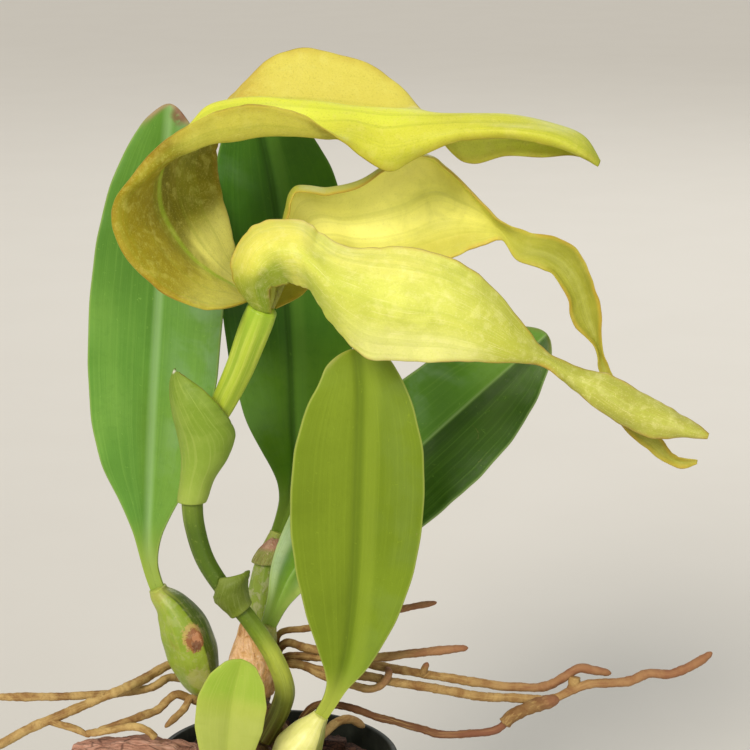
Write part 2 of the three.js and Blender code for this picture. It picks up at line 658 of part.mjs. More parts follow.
const columnRadii = [[0, 1], [0.5, 1.3], [0.8, 1.5], [1, 0.9]];
const lipLine = [
  [0.5, -19.2, 184.1], [1.2, -18.3, 186.5], [2, -17.7, 189.2],
  [3.4, -17.6, 192.4], [5.2, -18.6, 195.5], [6.8, -20, 197.6],
];
const lipFlatness = 0.6;
const lipRadii = [[0, 0.7], [0.3, 1.5], [0.65, 1.7], [1, 0.6]];

// Rhizome: it climbs out of the bark and carries every bulb on its upper side.
const rhizomeLines = [
  [[3, -8, 51], [3, -3.5, 60], [-1, 2, 68], [-6, 6, 70.5], [-13, 8.4, 70], [-18.6, 9, 70.5]],
  [[-5, 6, 70], [-5, 11, 74], [-4.6, 14.6, 79.5]],
  [[2.6, -5.5, 54.5], [-1.5, -6, 56], [-4.6, -6.3, 58.6], [-5.4, -6.4, 62], [-3.9, -6.4, 65.4]],
  [[3, -8, 52], [2.6, -10.2, 57]],
  [[3, -8, 52], [-3, -12.5, 50.5], [-8.6, -15.6, 50.5]],
];
const rhizomeRadius = 3;

function rhizomeBody(spare = 0) {
  const branch = (line) => {
    const radiusAt = (t) => rhizomeRadius * (1 + 0.07 * Math.cos(18 * t));
    return roundBody(line, radiusAt, 7, rhizomeSides, spare);
  };
  return rhizomeLines.map(branch);
}

// Roots: long bare ones that leave the rhizome above the rim and hold themselves up.
const leftRoots = [
  {
    line: [
      [-18.6, 9, 71], [-20.5, 13.2, 72.5], [-24, 15.5, 76.5], [-27.5, 14.6, 79.8], [-32, 11, 79],
      [-36, 6.5, 78], [-41, 1, 77.5], [-46, -1, 76], [-52, -3.5, 74.2], [-59, -5, 71.5],
      [-66, -7, 69], [-73.5, -10, 65.5],
    ],
    radius: 1.25,
  },
  {
    line: [
      [-18.6, 9, 71], [-20.5, 13.2, 72.5], [-24.5, 14.6, 75.2], [-29, 12, 76.9], [-33.5, 8, 75.6],
      [-44, 6, 74.5], [-60, 4, 74.5], [-74, 4, 74.5],
    ],
    radius: 1.1,
  },
  {
    line: [
      [-18.6, 8, 70.5], [-22, 4, 73.5], [-26, 2, 76], [-28.5, 1, 74.8], [-31.5, -1, 72.5],
      [-38, -5, 71.5], [-44, -7, 70], [-47.5, -8, 68.6],
    ],
    radius: 1.1,
  },
  {
    line: [
      [-18.6, 8, 70.5], [-21, 3.2, 73.5], [-22.6, 2, 74.9],
      [-24.2, 0, 72.8], [-27, -2.5, 70.6], [-29, -4, 69],
    ],
    radius: 0.95,
  },
  { line: [[-31, -9, 68.2], [-33, -9, 70.3], [-37, -8, 71], [-43, -8, 69.8], [-50, -7.8, 69]], radius: 1 },
  { line: [[-59, -5, 71.3], [-54, -7, 70.5], [-50.5, -7.8, 69.6], [-48, -8, 68.2]], radius: 1 },
];
const rightRoots = [
  {
    line: [
      [-4.4, 12.5, 78.5], [-2, 10.8, 80.5], [-0.8, 10.5, 86], [1, 9.6, 90.5], [7, 8, 92],
      [14, 7, 93], [23, 6, 95.5], [31.5, 6, 98], [42, 6, 100],
    ],
    radius: 0.9,
  },
  {
    line: [
      [-4.4, 12.5, 78.5], [-2, 10.8, 80.5], [2, 9, 87.5], [8, 5, 87.7],
      [15.5, 3, 87], [25, 1, 86.5], [40, -1, 89], [50, -2, 90.5],
    ],
    radius: 1.1,
  },
  {
    line: [
      [-4.4, 12.5, 78.5], [-2, 10.8, 80.5], [4, 8, 84.3], [15.5, 4, 85], [22.5, 3, 84.5], [29.5, 3, 83],
      [45.5, 3, 80], [61, 2, 78], [70, 1, 78.5], [75, 0, 81.5], [79, 0, 84], [83, 0, 83.5], [87.5, 0, 82.5],
    ],
    radius: 1.2,
  },
  {
    line: [
      [-4.4, 12.5, 78.5], [-2, 10.8, 80.5], [4, 6, 83], [11.5, 2, 82.5], [18, 0, 82.5], [31, -2, 81],
      [50.5, -2, 77.5], [61, -2, 76.5], [71, -2, 76], [77, -2, 78.5], [83, -2, 80.5], [91.5, -2, 81],
      [97, -3, 83.5], [103, -3, 83.5], [109.5, -3.5, 87], [113, -4, 90],
    ],
    radius: 1.2,
  },
  {
    line: [
      [7.5, 4, 83], [15.5, -3, 81.5], [20, -4, 80.6], [24.5, -4, 79.8],
      [27.5, -4, 81], [29.3, -2.5, 83.2], [29, 2, 83.4],
    ],
    radius: 1,
  },
  {
    line: [
      [2.4, -2.8, 61], [5, -3.6, 68], [10, -5, 75.5], [16.5, -6, 76], [26.5, -6, 73], [37.5, -6, 69.5],
      [42.5, -6, 68], [50, -6, 68.2], [57, -6, 69], [61.5, -5.5, 73],
    ],
    radius: 1,
  },
  {
    line: [[59.3, -6, 70.8], [61.5, -5.5, 73], [65, -5, 74.5], [68.5, -4, 75.4], [74, -2.4, 76.6]],
    radius: 1.8,
  },
  { line: [[78, -0.6, 82], [77.5, -1, 79.5], [76, -2, 77.6]], radius: 1.6 },
  { line: [[38.3, 3, 81.2], [38.8, 2.6, 83], [39.6, 2, 84.8]], radius: 1.1 },
];
const potRoot = {
  line: [[3, -1, 58], [9, 5, 60.5], [15, 9.5, 64.5], [19.3, 12, 65], [23, 14.5, 61.8]],
  radius: 1.2,
};

function rootBody({ line, radius }, spare = 0) {
  const radiusAt = (t) => radius * Math.min(1, 0.45 + 4 * (1 - t));
  return roundBody(line, radiusAt, Math.round(line.length * rootStepsPerPoint), rootSides, spare);
}

// Bark: a packed core with loose chips bedded in its top, and one long slab that leans out over the rim.
const barkFootRadius = potFootRadius - potWall - 0.5;
const barkTopRadius = shoulderRadius - potWall - 1.1;
const barkRimRadius = wallTopRadius - 2;

function barkCore() {
  const floor = potWall + seatGap;
  const profile = [
    [0, floor],
    [barkFootRadius, floor],
    [barkTopRadius, shoulderHeight - 3.5],
    [barkRimRadius, shoulderHeight + 1.5],
    [barkRimRadius - 2, barkTop],
    [0, barkTop + 1],
  ];
  const core = new THREE.LatheGeometry(profile.map(([r, z]) => new THREE.Vector2(r, z)), barkSides);
  core.rotateX(Math.PI / 2);
  return core;
}

// Chips lie in a sunflower spiral, each tilted its own way and sunk to about half its thickness.
const chipSeed = 7;
const chipLengths = [5, 12];
const chipWidths = [4, 8];
const chipHeights = [2.5, 5];
const chipTilt = 0.45;
const chipReach = 21.5;
const spiralTurn = 2.4;
const chipLift = [0.4, 2];

function barkChips() {
  const draw = seededDraw(chipSeed);
  const between = ([low, high]) => low + (high - low) * draw();
  return Array.from({ length: chipCount }, (_, k) => {
    const chip = new THREE.BoxGeometry(between(chipLengths), between(chipWidths), between(chipHeights));
    chip.rotateX(between([-chipTilt, chipTilt]));
    chip.rotateY(between([-chipTilt, chipTilt]));
    chip.rotateZ(between([0, Math.PI]));
    const reach = chipReach * Math.sqrt((k + 0.5) / chipCount);
    const angle = k * spiralTurn;
    chip.translate(reach * Math.cos(angle), reach * Math.sin(angle), barkTop + between(chipLift));
    return chip;
  });
}

const slabLine = [[-12, -6, 58.4], [-20, -7, 61.2], [-31, -8, 63.8], [-42, -8.5, 64.2], [-53, -8, 64]];
const slabFlatness = 0.31;
const slabWidths = [[0, 5], [0.2, 7.5], [0.5, 8.5], [0.8, 7.6], [1, 5]];

function slabBody(spare = 0) {
  const rough = (t, angle) => 1 + 0.08 * Math.sin(23 * t + 3 * angle) + 0.05 * Math.sin(41 * t - 5 * angle);
  const radiusAt = (t, angle) => readOff(slabWidths, t) * rough(t, angle);
  return roundBody(slabLine, radiusAt, 10, slabSides, spare, slabFlatness);
}

// Assembly
addPiece("pot", pot(), potBlack, 0.5);

const planted = [
  ...rhizomeBody(seatGap),
  bulbBody(bulbs.front, seatGap),
  bulbBody(bulbs.small, seatGap),
  rootBody(potRoot, seatGap),
  slabBody(seatGap),
];
addPiece("bark_medium", wholePiece(cutBy(joined([barkCore(), ...barkChips()]), planted)), barkBrown, 0.95);
addPiece("bark_slab", slabBody(), slabBrown, 0.95);

const carried = [...Object.values(bulbs).map((bulb) => bulbBody(bulb, seatGap)), stemBody(seatGap)];
addPiece("rhizome", wholePiece(cutBy(joined(rhizomeBody()), carried)), rhizomeBrown, 0.8);

const bulbColours = {
  left: bulbGreen, back: leafGreen, right: bulbGreen, front: paleBulbGreen, small: bulbGreen,
};
for (const [place, bulb] of Object.entries(bulbs)) {
  addPiece(`pseudobulb_${place}`, bulbBody(bulb), bulbColours[place], 0.45);
}

const leafColours = {
  left: leafGreen, back: darkLeafGreen, right: darkLeafGreen, front: limeGreen, small: bulbGreen,
};
for (const [place, leaf] of Object.entries(leaves)) {
  addPiece(`leaf_${place}`, leafBlade(leaf), leafColours[place], 0.4);
}

addPiece("flower_stem", stemBody(), stemGreen, 0.5);
addPiece("stem_bract", blade(wrapRows(stemBractRows, 7), stemBractNet, bractThickness), stemGreen, 0.55);
addPiece("floral_bract", blade(wrapRows(spatheRows, 7), floralBractNet, bractThickness), bulbGreen, 0.55);
addPiece("ovary", ovaryBody(), ovaryGreen, 0.45);
const bulbSheath = blade(wrapRows(bulbSheathRows, 7), bulbSheathNet, sheathThickness);
const neckSheath = blade(wrapRows(neckSheathRows, 5), neckSheathNet, sheathThickness);
addPiece("sheath_right_bulb", bulbSheath, sheathTan, 0.9);
addPiece("sheath_back_bulb", neckSheath, sheathTan, 0.9);

addPiece("dorsal_sepal", blade(dorsalRows, dorsalNet, sepalThickness), dorsalOlive, 0.45);
addPiece("lateral_sepal_near", blade(nearLateralRows, nearLateralNet, sepalThickness), sepalYellow, 0.45);
addPiece("lateral_sepal_far", blade(farLateralRows, farLateralNet, sepalThickness), sepalYellow, 0.45);
addPiece("petal_left", blade(leftPetalRows, petalNet, petalThickness), sepalYellow, 0.5);
addPiece("petal_right", blade(rightPetalRows, petalNet, petalThickness), sepalYellow, 0.5);
const columnBody = roundBody(columnLine, (t) => readOff(columnRadii, t), 6, columnSides);
const lipBody = roundBody(lipLine, (t) => readOff(lipRadii, t), 6, columnSides, 0, lipFlatness);
addPiece("column", columnBody, columnYellow, 0.45);
addPiece("lip", lipBody, lipBrown, 0.5);

const besideRoots = [...rhizomeBody(seatGap), ...carried, slabBody(seatGap)];
for (const [name, roots] of Object.entries({
  roots_left: leftRoots,
  roots_right: rightRoots,
  root_in_pot: [potRoot],
})) {
  const bodies = roots.map((root) => rootBody(root));
  addPiece(name, wholePiece(cutBy(joined(bodies), besideRoots)), rootTan, 0.8);
}

export default plant;
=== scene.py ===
# Potted bulbophyllum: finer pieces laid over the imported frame.
# Tables are in millimetres, as in the part's source, and meshes are made in metres.
import math
import bmesh
import bpy
import numpy as np
from mathutils import Euler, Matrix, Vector, noise


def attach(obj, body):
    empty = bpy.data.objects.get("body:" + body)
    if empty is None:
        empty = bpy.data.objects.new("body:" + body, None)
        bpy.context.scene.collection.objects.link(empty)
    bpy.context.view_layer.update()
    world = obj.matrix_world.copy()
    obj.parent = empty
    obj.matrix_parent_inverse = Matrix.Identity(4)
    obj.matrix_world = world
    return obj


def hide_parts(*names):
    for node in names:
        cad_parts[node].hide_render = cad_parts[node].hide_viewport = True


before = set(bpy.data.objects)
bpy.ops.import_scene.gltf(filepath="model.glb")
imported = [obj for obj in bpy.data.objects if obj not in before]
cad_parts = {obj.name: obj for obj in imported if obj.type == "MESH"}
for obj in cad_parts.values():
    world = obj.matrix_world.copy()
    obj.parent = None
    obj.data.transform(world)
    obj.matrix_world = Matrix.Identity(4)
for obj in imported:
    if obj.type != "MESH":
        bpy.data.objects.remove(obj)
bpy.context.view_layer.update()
mm = 0.001
print("frame loaded with", len(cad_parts), "solids")

# Camera, floor and lights, in metres
shot = {
    "from": (0.025795, -0.601583, 0.312803), "at": (0.025795, 0.0, 0.162812), "lens": 117.6, "farthest": 60,
}
studio = {
    "floorHalf": 12.0, "floorColour": "#d8d6d0",
    "speckColour": "#cecbc4", "speckSize": 60, "speckStrength": 0.12,
    "air": "#edebe6", "airStrength": 0.46, "lampsAimAt": (0.02, 0, 0.14),
    "sun": {"from": (-0.55, -1.15, 1.0), "strength": 2.6, "spread": 0.42, "colour": "#fff6ea"},
    "lamps": [
        # name, place, size, power, colour
        ("fillLamp", (0.8, -1.35, 0.6), 0.8, 5.6, "#f6f4ee"),
        ("backLamp", (0.35, 1.2, 1.1), 0.7, 5, "#ffffff"),
    ],
}


def linearColour(code):
    # a "#rrggbb" screen colour as the shader wants it
    parts = [int(code[k:k + 2], 16) / 255 for k in (1, 3, 5)]
    return tuple(c / 12.92 if c <= 0.04045 else ((c + 0.055) / 1.055) ** 2.4 for c in parts) + (1.0,)


def inScene(name, data):
    made = bpy.data.objects.new(name, data)
    bpy.context.scene.collection.objects.link(made)
    return made


def setAndAim(thing, place, at):
    thing.location = place
    thing.rotation_euler = (Vector(at) - Vector(place)).to_track_quat("-Z", "Y").to_euler()


def setTheCamera():
    camera = inScene("plantCamera", bpy.data.cameras.new("plantCamera"))
    setAndAim(camera, shot["from"], shot["at"])
    camera.data.lens = shot["lens"]
    camera.data.clip_end = shot["farthest"]
    bpy.context.scene.camera = camera


def hangLamp(lamp, place, power, colour):
    lamp.energy = power
    lamp.color = linearColour(colour)[:3]
    setAndAim(inScene(lamp.name, lamp), place, studio["lampsAimAt"])


def setTheLights():
    sun = bpy.data.lights.new("keySun", "SUN")
    sun.angle = studio["sun"]["spread"]
    hangLamp(sun, studio["sun"]["from"], studio["sun"]["strength"], studio["sun"]["colour"])
    for name, place, size, power, colour in studio["lamps"]:
        lamp = bpy.data.lights.new(name, "AREA")
        lamp.shape = "DISK"
        lamp.size = size
        hangLamp(lamp, place, power, colour)
    air = bpy.data.worlds.new("studioAir")
    air.use_nodes = True
    backdrop = air.node_tree.nodes["Background"]
    backdrop.inputs["Color"].default_value = linearColour(studio["air"])
    backdrop.inputs["Strength"].default_value = studio["airStrength"]
    bpy.context.scene.world = air
    bpy.context.scene.view_settings.view_transform = "Standard"


# Materials: a desk lays out the nodes of one material, with sizes in millimetres
class NodeDesk:
    def __init__(self, name, roughness=0.5, coat=0.0, glow=0.0, glowDepth=1.0, shine=0.4):
        self.material = bpy.data.materials.new(name)
        self.material.use_nodes = True
        self.tree = self.material.node_tree
        self.shader = self.tree.nodes["Principled BSDF"]
        self.colour = None
        self.lastBump = None
        settings = {
            "Roughness": roughness, "Coat Weight": coat, "Coat Roughness": 0.3, "Specular IOR Level": shine,
        }
        if glow:
            # light that sinks in and comes out again, the blue least
            settings["Subsurface Weight"] = glow
            settings["Subsurface Radius"] = (0.9, 1.0, 0.3)
            settings["Subsurface Scale"] = glowDepth * mm
        for key, value in settings.items():
            self.shader.inputs[key].default_value = value

    def feed(self, socket, value):
        if isinstance(value, bpy.types.NodeSocket):
            self.tree.links.new(value, socket)
        else:
            socket.default_value = value

    def node(self, kind, **settings):
        made = self.tree.nodes.new(kind)
        for key, value in settings.items():
            setattr(made, key, value)
        return made

    def place(self):
        return self.node("ShaderNodeTexCoord").outputs["Object"]

    def stretched(self, factors):
        # the place, squeezed along some axes so that a grain runs long
        move = self.node("ShaderNodeMapping")
        self.feed(move.inputs["Vector"], self.place())
        move.inputs["Scale"].default_value = factors
        return move.outputs["Vector"]

    def span(self, way):
        # how far "across" or "along" a piece, from 0 to 1
        split = self.node("ShaderNodeSeparateXYZ")
        self.feed(split.inputs[0], self.node("ShaderNodeUVMap", uv_map="span").outputs["UV"])
        return split.outputs["X" if way == "across" else "Y"]

    def value(self, name):
        return self.node("ShaderNodeAttribute", attribute_name=name).outputs["Fac"]

    def math(self, operation, first, second=0.0, third=0.0):
        made = self.node("ShaderNodeMath", operation=operation)
        for socket, value in zip(made.inputs, (first, second, third)):
            self.feed(socket, value)
        return made.outputs[0]

    def both(self, first, second):
        return self.math("MULTIPLY", first, second)

    def texture(self, kind, size, where, **settings):
        made = self.node(kind, **settings)
        self.feed(made.inputs["Vector"], self.place() if where is None else where)
        made.inputs["Scale"].default_value = 1 / (size * mm)
        return made

    def noise(self, size, detail=3.0, rough=0.55, warp=0.0, where=None):
        made = self.texture("ShaderNodeTexNoise", size, where)
        for key, number in (("Detail", detail), ("Roughness", rough), ("Distortion", warp)):
            made.inputs[key].default_value = number
        return made.outputs["Fac"]

    def cells(self, size, where=None, feature="F1"):
        return self.texture("ShaderNodeTexVoronoi", size, where, feature=feature).outputs["Distance"]

    def between(self, value, none, full, first=0.0, second=1.0):
        # eased from first to second as the value goes from none to full, which may be the lower one
        if none > full:
            none, full, first, second = full, none, second, first
        made = self.node("ShaderNodeMapRange", interpolation_type="SMOOTHSTEP")
        self.feed(made.inputs["Value"], value)
        for key, number in (("From Min", none), ("From Max", full), ("To Min", first), ("To Max", second)):
            made.inputs[key].default_value = number
        return made.outputs["Result"]

    def window(self, value, low, high, soft):
        # 1 between low and high, eased at both ends
        opening = self.between(value, low - soft, low + soft)
        return self.both(opening, self.between(value, high + soft, high - soft))

    def zone(self, lengthwise, crosswise, soft):
        # 1 in one part of a piece's span
        return self.both(self.window(self.span("along"), *lengthwise, soft),
                         self.window(self.span("across"), *crosswise, 0.1))

    def near(self, point, reach, factors=(1, 1, 1)):
        # 1 at a point in mm, fading out at the reach; factors squeeze the patch along an axis
        away = self.node("ShaderNodeVectorMath", operation="DISTANCE")
        self.feed(away.inputs[0], self.stretched(factors))
        away.inputs[1].default_value = [c * f * mm for c, f in zip(point, factors)]
        return self.between(away.outputs["Value"], reach * mm, 0.35 * reach * mm)

    def streaks(self, fine, long=1.5, closed=False, detail=3.0):
        # uneven lengthwise lines, finer across a piece than along it, and closed round a stem
        across = self.span("across")
        bundle = self.node("ShaderNodeCombineXYZ")
        if closed:
            turn = self.both(across, 2 * math.pi)
            for k, wave in enumerate(("COSINE", "SINE")):
                self.feed(bundle.inputs[k], self.both(self.math(wave, turn), fine / 6))
        else:
            self.feed(bundle.inputs[0], self.both(across, fine))
        self.feed(bundle.inputs[2], self.both(self.span("along"), long))
        return self.noise(1 / mm, detail, 0.55, 0.25, bundle.outputs["Vector"])

    def ramp(self, value, stops):
        made = self.node("ShaderNodeValToRGB")
        band = made.color_ramp.elements
        while len(band) < len(stops):
            band.new(1.0)
        for element, (at, code) in zip(band, stops):
            element.position = at
            element.color = linearColour(code)
        self.feed(made.inputs["Fac"], value)
        return made.outputs["Color"]

    def bands(self, value, look, **stops):
        # the look's colours in bands, from the lowest value to the highest
        self.colour = self.ramp(value, [(at, look[key]) for key, at in stops.items()])

    def mix(self, amount, first, second):
        made = self.node("ShaderNodeMix", data_type="RGBA", blend_type="MIX")
        for key, value in ((0, amount), (6, first), (7, second)):
            self.feed(made.inputs[key], linearColour(value) if isinstance(value, str) else value)
        return made.outputs[2]

    def cover(self, amount, colour, strength=1.0):
        # the colour goes over what is there, where the amount is
        self.colour = self.mix(self.both(amount, strength), self.colour, colour)

    def lay(self, value, none, full, colour, strength):
        # the colour goes over what is there, as the value comes near full
        self.cover(self.between(value, none, full), colour, strength)

    def bump(self, height, depth):
        made = self.node("ShaderNodeBump")
        self.feed(made.inputs["Height"], height)
        made.inputs["Distance"].default_value = depth * mm
        if self.lastBump is not None:
            self.feed(made.inputs["Normal"], self.lastBump)
        self.lastBump = made.outputs["Normal"]

    def done(self, roughness=None):
        self.feed(self.shader.inputs["Base Color"], self.colour)
        if roughness is not None:
            self.feed(self.shader.inputs["Roughness"], roughness)
        if self.lastBump is not None:
            self.feed(self.shader.inputs["Normal"], self.lastBump)
        return self.material


# Lines through points, as the part's source draws them
finePlaces = np.linspace(0, 1, 401)


def throughPoints(points, places):
    points = np.asarray(points, float)
    spans = len(points) - 1
    longer = np.concatenate([[2 * points[0] - points[1]], points, [2 * points[-1] - points[-2]]])
    position = np.clip(np.atleast_1d(places), 0, 1) * spans
    step = np.minimum(position.astype(int), spans - 1)
    w = (position - step).reshape((-1,) + (1,) * (points.ndim - 1))
    before, start, end, after = (longer[step + k] for k in range(4))
    leaving = (end - before) / 2
    arriving = (after - start) / 2
    square = 3 * (end - start) - 2 * leaving - arriving
    cube = 2 * (start - end) + leaving + arriving
    return start + w * (leaving + w * (square + w * cube))


def stepsAlong(points):
    return np.linalg.norm(np.diff(throughPoints(points, finePlaces), axis=0), axis=1)


def lineLength(points):
    return stepsAlong(points).sum()


def evenPlaces(points, parts):
    # the places on a line that divide it by length
    lengths = np.concatenate([[0], np.cumsum(stepsAlong(points))])
    return np.interp(np.asarray(parts) * lengths[-1], lengths, finePlaces)


def unit(vectors):
    return vectors / np.maximum(np.linalg.norm(vectors, axis=-1, keepdims=True), 1e-12)


def tangentsAt(points, places):
    tiny = 1e-4
    ahead = throughPoints(points, np.minimum(places + tiny, 1))
    return unit(ahead - throughPoints(points, np.maximum(places - tiny, 0)))


def framesAlong(tangents):
    # a normal and a binormal carried along the line without twist
    start = np.zeros(3)
    start[np.argmin(np.abs(tangents[0]))] = 1
    normals = [np.cross(tangents[0], unit(np.cross(tangents[0], start)))]
    for now in tangents[1:]:
        normals.append(unit(normals[-1] - now * (normals[-1] @ now)))
    normals = np.array(normals)
    return normals, np.cross(tangents, normals)


def readOff(pairs, places, ease):
    # values between [place, value] pairs, eased a little round the corners
    known = np.array(pairs, float)
    shifts = np.linspace(-ease, ease, 9)
    return np.mean([np.interp(places + s, known[:, 0], known[:, 1]) for s in shifts], axis=0)


def ripple(places, seed, count=3):
    # a calm line of a few waves, about -1 to 1, the same in every run
    total = 0
    for k in range(count):
        pitch = 5.3 + 4.1 * k + math.sin(seed * 1.7 + k * 2.1)
        total = total + np.sin(places * pitch + seed * (k + 1.3)) / (k + 1)
    return total / 1.8


def hump(values, at, width):
    # 1 at one place, falling off to both sides
    return np.exp(-((values - at) / width) ** 2)


def grainAt(points, size, seed=0.0):
    # smooth noise at each point, about -1 to 1
    moved = np.asarray(points) / size + seed * 7.31
    return np.array([noise.noise(Vector(p)) for p in moved.reshape(-1, 3)]).reshape(moved.shape[:-1])


# Meshes: a part holds points in mm, faces, the span of each face corner and values for each point
def gridFaces(rows, columns, first=0, closed=False, flip=False):
    # four-sided faces of a net of points, with their places in the net
    i, j = np.meshgrid(np.arange(rows - 1), np.arange(columns if closed else columns - 1), indexing="ij")
    i, j = i.ravel(), j.ravel()
    corners = [(i, j), (i + 1, j), (i + 1, j + 1), (i, j + 1)]
    if flip:
        corners = corners[::-1]
    faces = np.stack([first + a * columns + b % columns for a, b in corners], axis=1)
    places = np.stack([np.stack([b, a], axis=1) for a, b in corners], axis=1)
    return faces, places


def addPiece(name, parts, material, node):
    points, faces, spans, start = [], [], [], 0
    keys = sorted({key for part in parts for key in part.get("values", {})})
    values = {key: [] for key in keys}
    for part in parts:
        count = len(part["points"])
        points.append(np.asarray(part["points"], float).reshape(-1, 3))
        faces += [tuple(int(v) + start for v in face) for face in part["faces"]]
        spans.append(np.asarray(part["span"], float).reshape(-1, 2))
        for key in keys:
            given = part.get("values", {}).get(key, 0.0)
            values[key].append(np.broadcast_to(np.asarray(given, float), (count,)))
        start += count
    mesh = bpy.data.meshes.new(name)
    mesh.from_pydata((np.concatenate(points) * mm).tolist(), [], faces)
    mesh.uv_layers.new(name="span").uv.foreach_set("vector", np.concatenate(spans).ravel())
    for key in keys:
        mesh.attributes.new(key, "FLOAT", "POINT").data.foreach_set("value", np.concatenate(values[key]))
    mesh.shade_smooth()
    mesh.materials.append(material)
    made = inScene(name, mesh)
    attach(made, "root")
    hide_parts(node)
    return made


def closedPart(rings, ends, downs):
    # rings of points joined to a skin, with a fan of faces to a point at each end
    rows, sides = rings.shape[:2]
    faces, places = gridFaces(rows, sides, closed=True, flip=True)
    span = np.stack([places[..., 0] / sides, downs[places[..., 1]]], axis=-1)
    foot, top, last = rows * sides, rows * sides + 1, (rows - 1) * sides
    caps, capSpans = [], []
    for j in range(sides):
        k = (j + 1) % sides
        caps += [(foot, k, j), (top, last + j, last + k)]
        capSpans += [[(j / sides, 0)] * 3, [(j / sides, 1)] * 3]
    allSpans = np.concatenate([span.reshape(-1, 2), np.array(capSpans, float).reshape(-1, 2)])
    points = np.concatenate([rings.reshape(-1, 3), ends])
    return {"points": points, "faces": faces.tolist() + caps, "span": allSpans}


def roundPart(points, radiusAt, sides, step, roundFoot, roundTop, flatness=1.0):
    # a round body along a line; a look's "cut" holds its sides, its step along the line and how far its foot
    # and its top are rounded
    length = lineLength(points)
    parts = np.linspace(0, 1, max(6, int(length / step)) + 1)
    for end, reach in ((0, roundFoot), (1, roundTop)):
        curve = (1 - np.cos(np.linspace(0, math.pi / 2, 7))) * reach / length
        parts = np.union1d(parts, curve if end == 0 else 1 - curve)
    places = evenPlaces(points, parts)
    centres = throughPoints(points, places)
    normals, binormals = framesAlong(tangentsAt(points, places))
    angles = np.linspace(0, 2 * math.pi, sides, endpoint=False)
    radii = radiusAt(parts[:, None], angles[None, :]) * np.ones((len(parts), sides))
    for distance, reach in ((parts * length, roundFoot), ((1 - parts) * length, roundTop)):
        near = np.clip(distance / reach, 0, 1)
        radii = radii * np.sqrt(np.maximum(1 - (1 - near) ** 2, 0.0004))[:, None]
    rings = (centres[:, None] + normals[:, None] * (np.cos(angles)[:, None] * radii[..., None])
             + binormals[:, None] * (np.sin(angles)[:, None] * radii[..., None] * flatness))
    return closedPart(rings, centres[[0, -1]], parts)


def turnedPart(profile, turns):
    # a closed profile of [radius, height] turned round the upright axis
    profile = np.array(profile, float)
    angles = np.linspace(0, 2 * math.pi, turns, endpoint=False)
    inner = profile[1:-1]
    rings = np.stack([inner[:, None, 0] * np.cos(angles), inner[:, None, 0] * np.sin(angles),
                      np.repeat(inner[:, 1:], turns, axis=1)], axis=-1)
    ends = [(0, 0, profile[0, 1]), (0, 0, profile[-1, 1])]
    return closedPart(rings, ends, np.arange(len(inner)) / (len(inner) - 1))


def clustered(count, pull):
    # 0 to 1, closer together near both ends
    even = np.linspace(0, 1, count + 1)
    return (1 - pull) * even + pull * (0.5 - 0.5 * np.cos(math.pi * even))


def netNormals(net):
    return unit(np.cross(np.gradient(net, axis=0), np.gradient(net, axis=1)))


def marginSway(downs, acrosses, pitches, seed, power, count=3):
    # a wavy line along each margin, still in the middle
    first, second = (ripple(downs * pitch, seed + 3 * k, count)[:, None] for k, pitch in enumerate(pitches))
    return np.where(acrosses[None] < 0.5, first, second) * np.abs(2 * acrosses[None] - 1) ** power


sheetForm = {"gatherAlong": 0.25, "gatherAcross": 0.7, "marginReach": 1.6, "tipShare": 0.35}


def sheetPart(rows, steps, thickness, margin, shape=None, tipThin=0.04, rowPlaces=None):
    # a sheet with a front and a back, cut in steps along and across, and thinned to the share "margin" at its
    # margins; shape may move the net before it is thickened; rowPlaces: where the rows lie, if uneven
    along, across = steps
    downs = clustered(along, sheetForm["gatherAlong"])
    acrosses = clustered(across, sheetForm["gatherAcross"])
    lengthLines = throughPoints(np.array(rows, float), downs)
    net = np.swapaxes(throughPoints(np.swapaxes(lengthLines, 0, 1), acrosses), 0, 1)
    if rowPlaces is not None:
        downs = np.interp(downs, np.linspace(0, 1, len(rowPlaces)), rowPlaces)
    if shape is not None:
        net = shape(net, downs, acrosses)
    widths = np.linalg.norm(np.diff(net, axis=1), axis=2)
    reach = np.concatenate([np.zeros((along + 1, 1)), np.cumsum(widths, axis=1)], axis=1)
    fromMargin = np.minimum(reach, reach[:, -1:] - reach)
    middle = np.array([np.interp(0.5, acrosses, row) for row in reach])[:, None]
    thick = thickness(downs)[:, None] if callable(thickness) else thickness
    thick = thick * np.ones((along + 1, across + 1))
    closeness = np.clip(1 - fromMargin / (sheetForm["marginReach"] * thick), 0, 1)
    thick = thick * (1 - (1 - margin) * closeness ** 2)
    ends = np.minimum(1, np.minimum(downs + tipThin, 1 - downs + tipThin) / (2 * tipThin))[:, None]
    thick = thick * (sheetForm["tipShare"] + (1 - sheetForm["tipShare"]) * ends)
    half = netNormals(net) * thick[..., None] / 2
    columns = across + 1
    back = (along + 1) * columns
    front, frontPlaces = gridFaces(along + 1, columns)
    rear, rearPlaces = gridFaces(along + 1, columns, first=back, flip=True)
    border = [(i, 0) for i in range(along)] + [(along, j) for j in range(across)]
    border += [(i, across) for i in range(along, 0, -1)] + [(0, j) for j in range(across, 0, -1)]
    rim, rimPlaces = [], []
    for (i, j), (k, l) in zip(border, border[1:] + border[:1]):
        p, q = i * columns + j, k * columns + l
        rim.append((p, back + p, back + q, q))
        rimPlaces.append(((j, i), (j, i), (l, k), (l, k)))
    places = np.concatenate([frontPlaces, rearPlaces, np.array(rimPlaces)]).astype(int)
    values = {
        "inside": np.repeat([0.0, 1.0], back),
        "fromMargin": np.tile(fromMargin.ravel(), 2),
        "fromMiddle": np.tile(np.abs(reach - middle).ravel(), 2),
    }
    return {"points": np.concatenate([(net + half).reshape(-1, 3), (net - half).reshape(-1, 3)]),
            "faces": front.tolist() + rear.tolist() + rim,
            "span": np.stack([acrosses[places[..., 0]], downs[places[..., 1]]], axis=-1), "values": values}


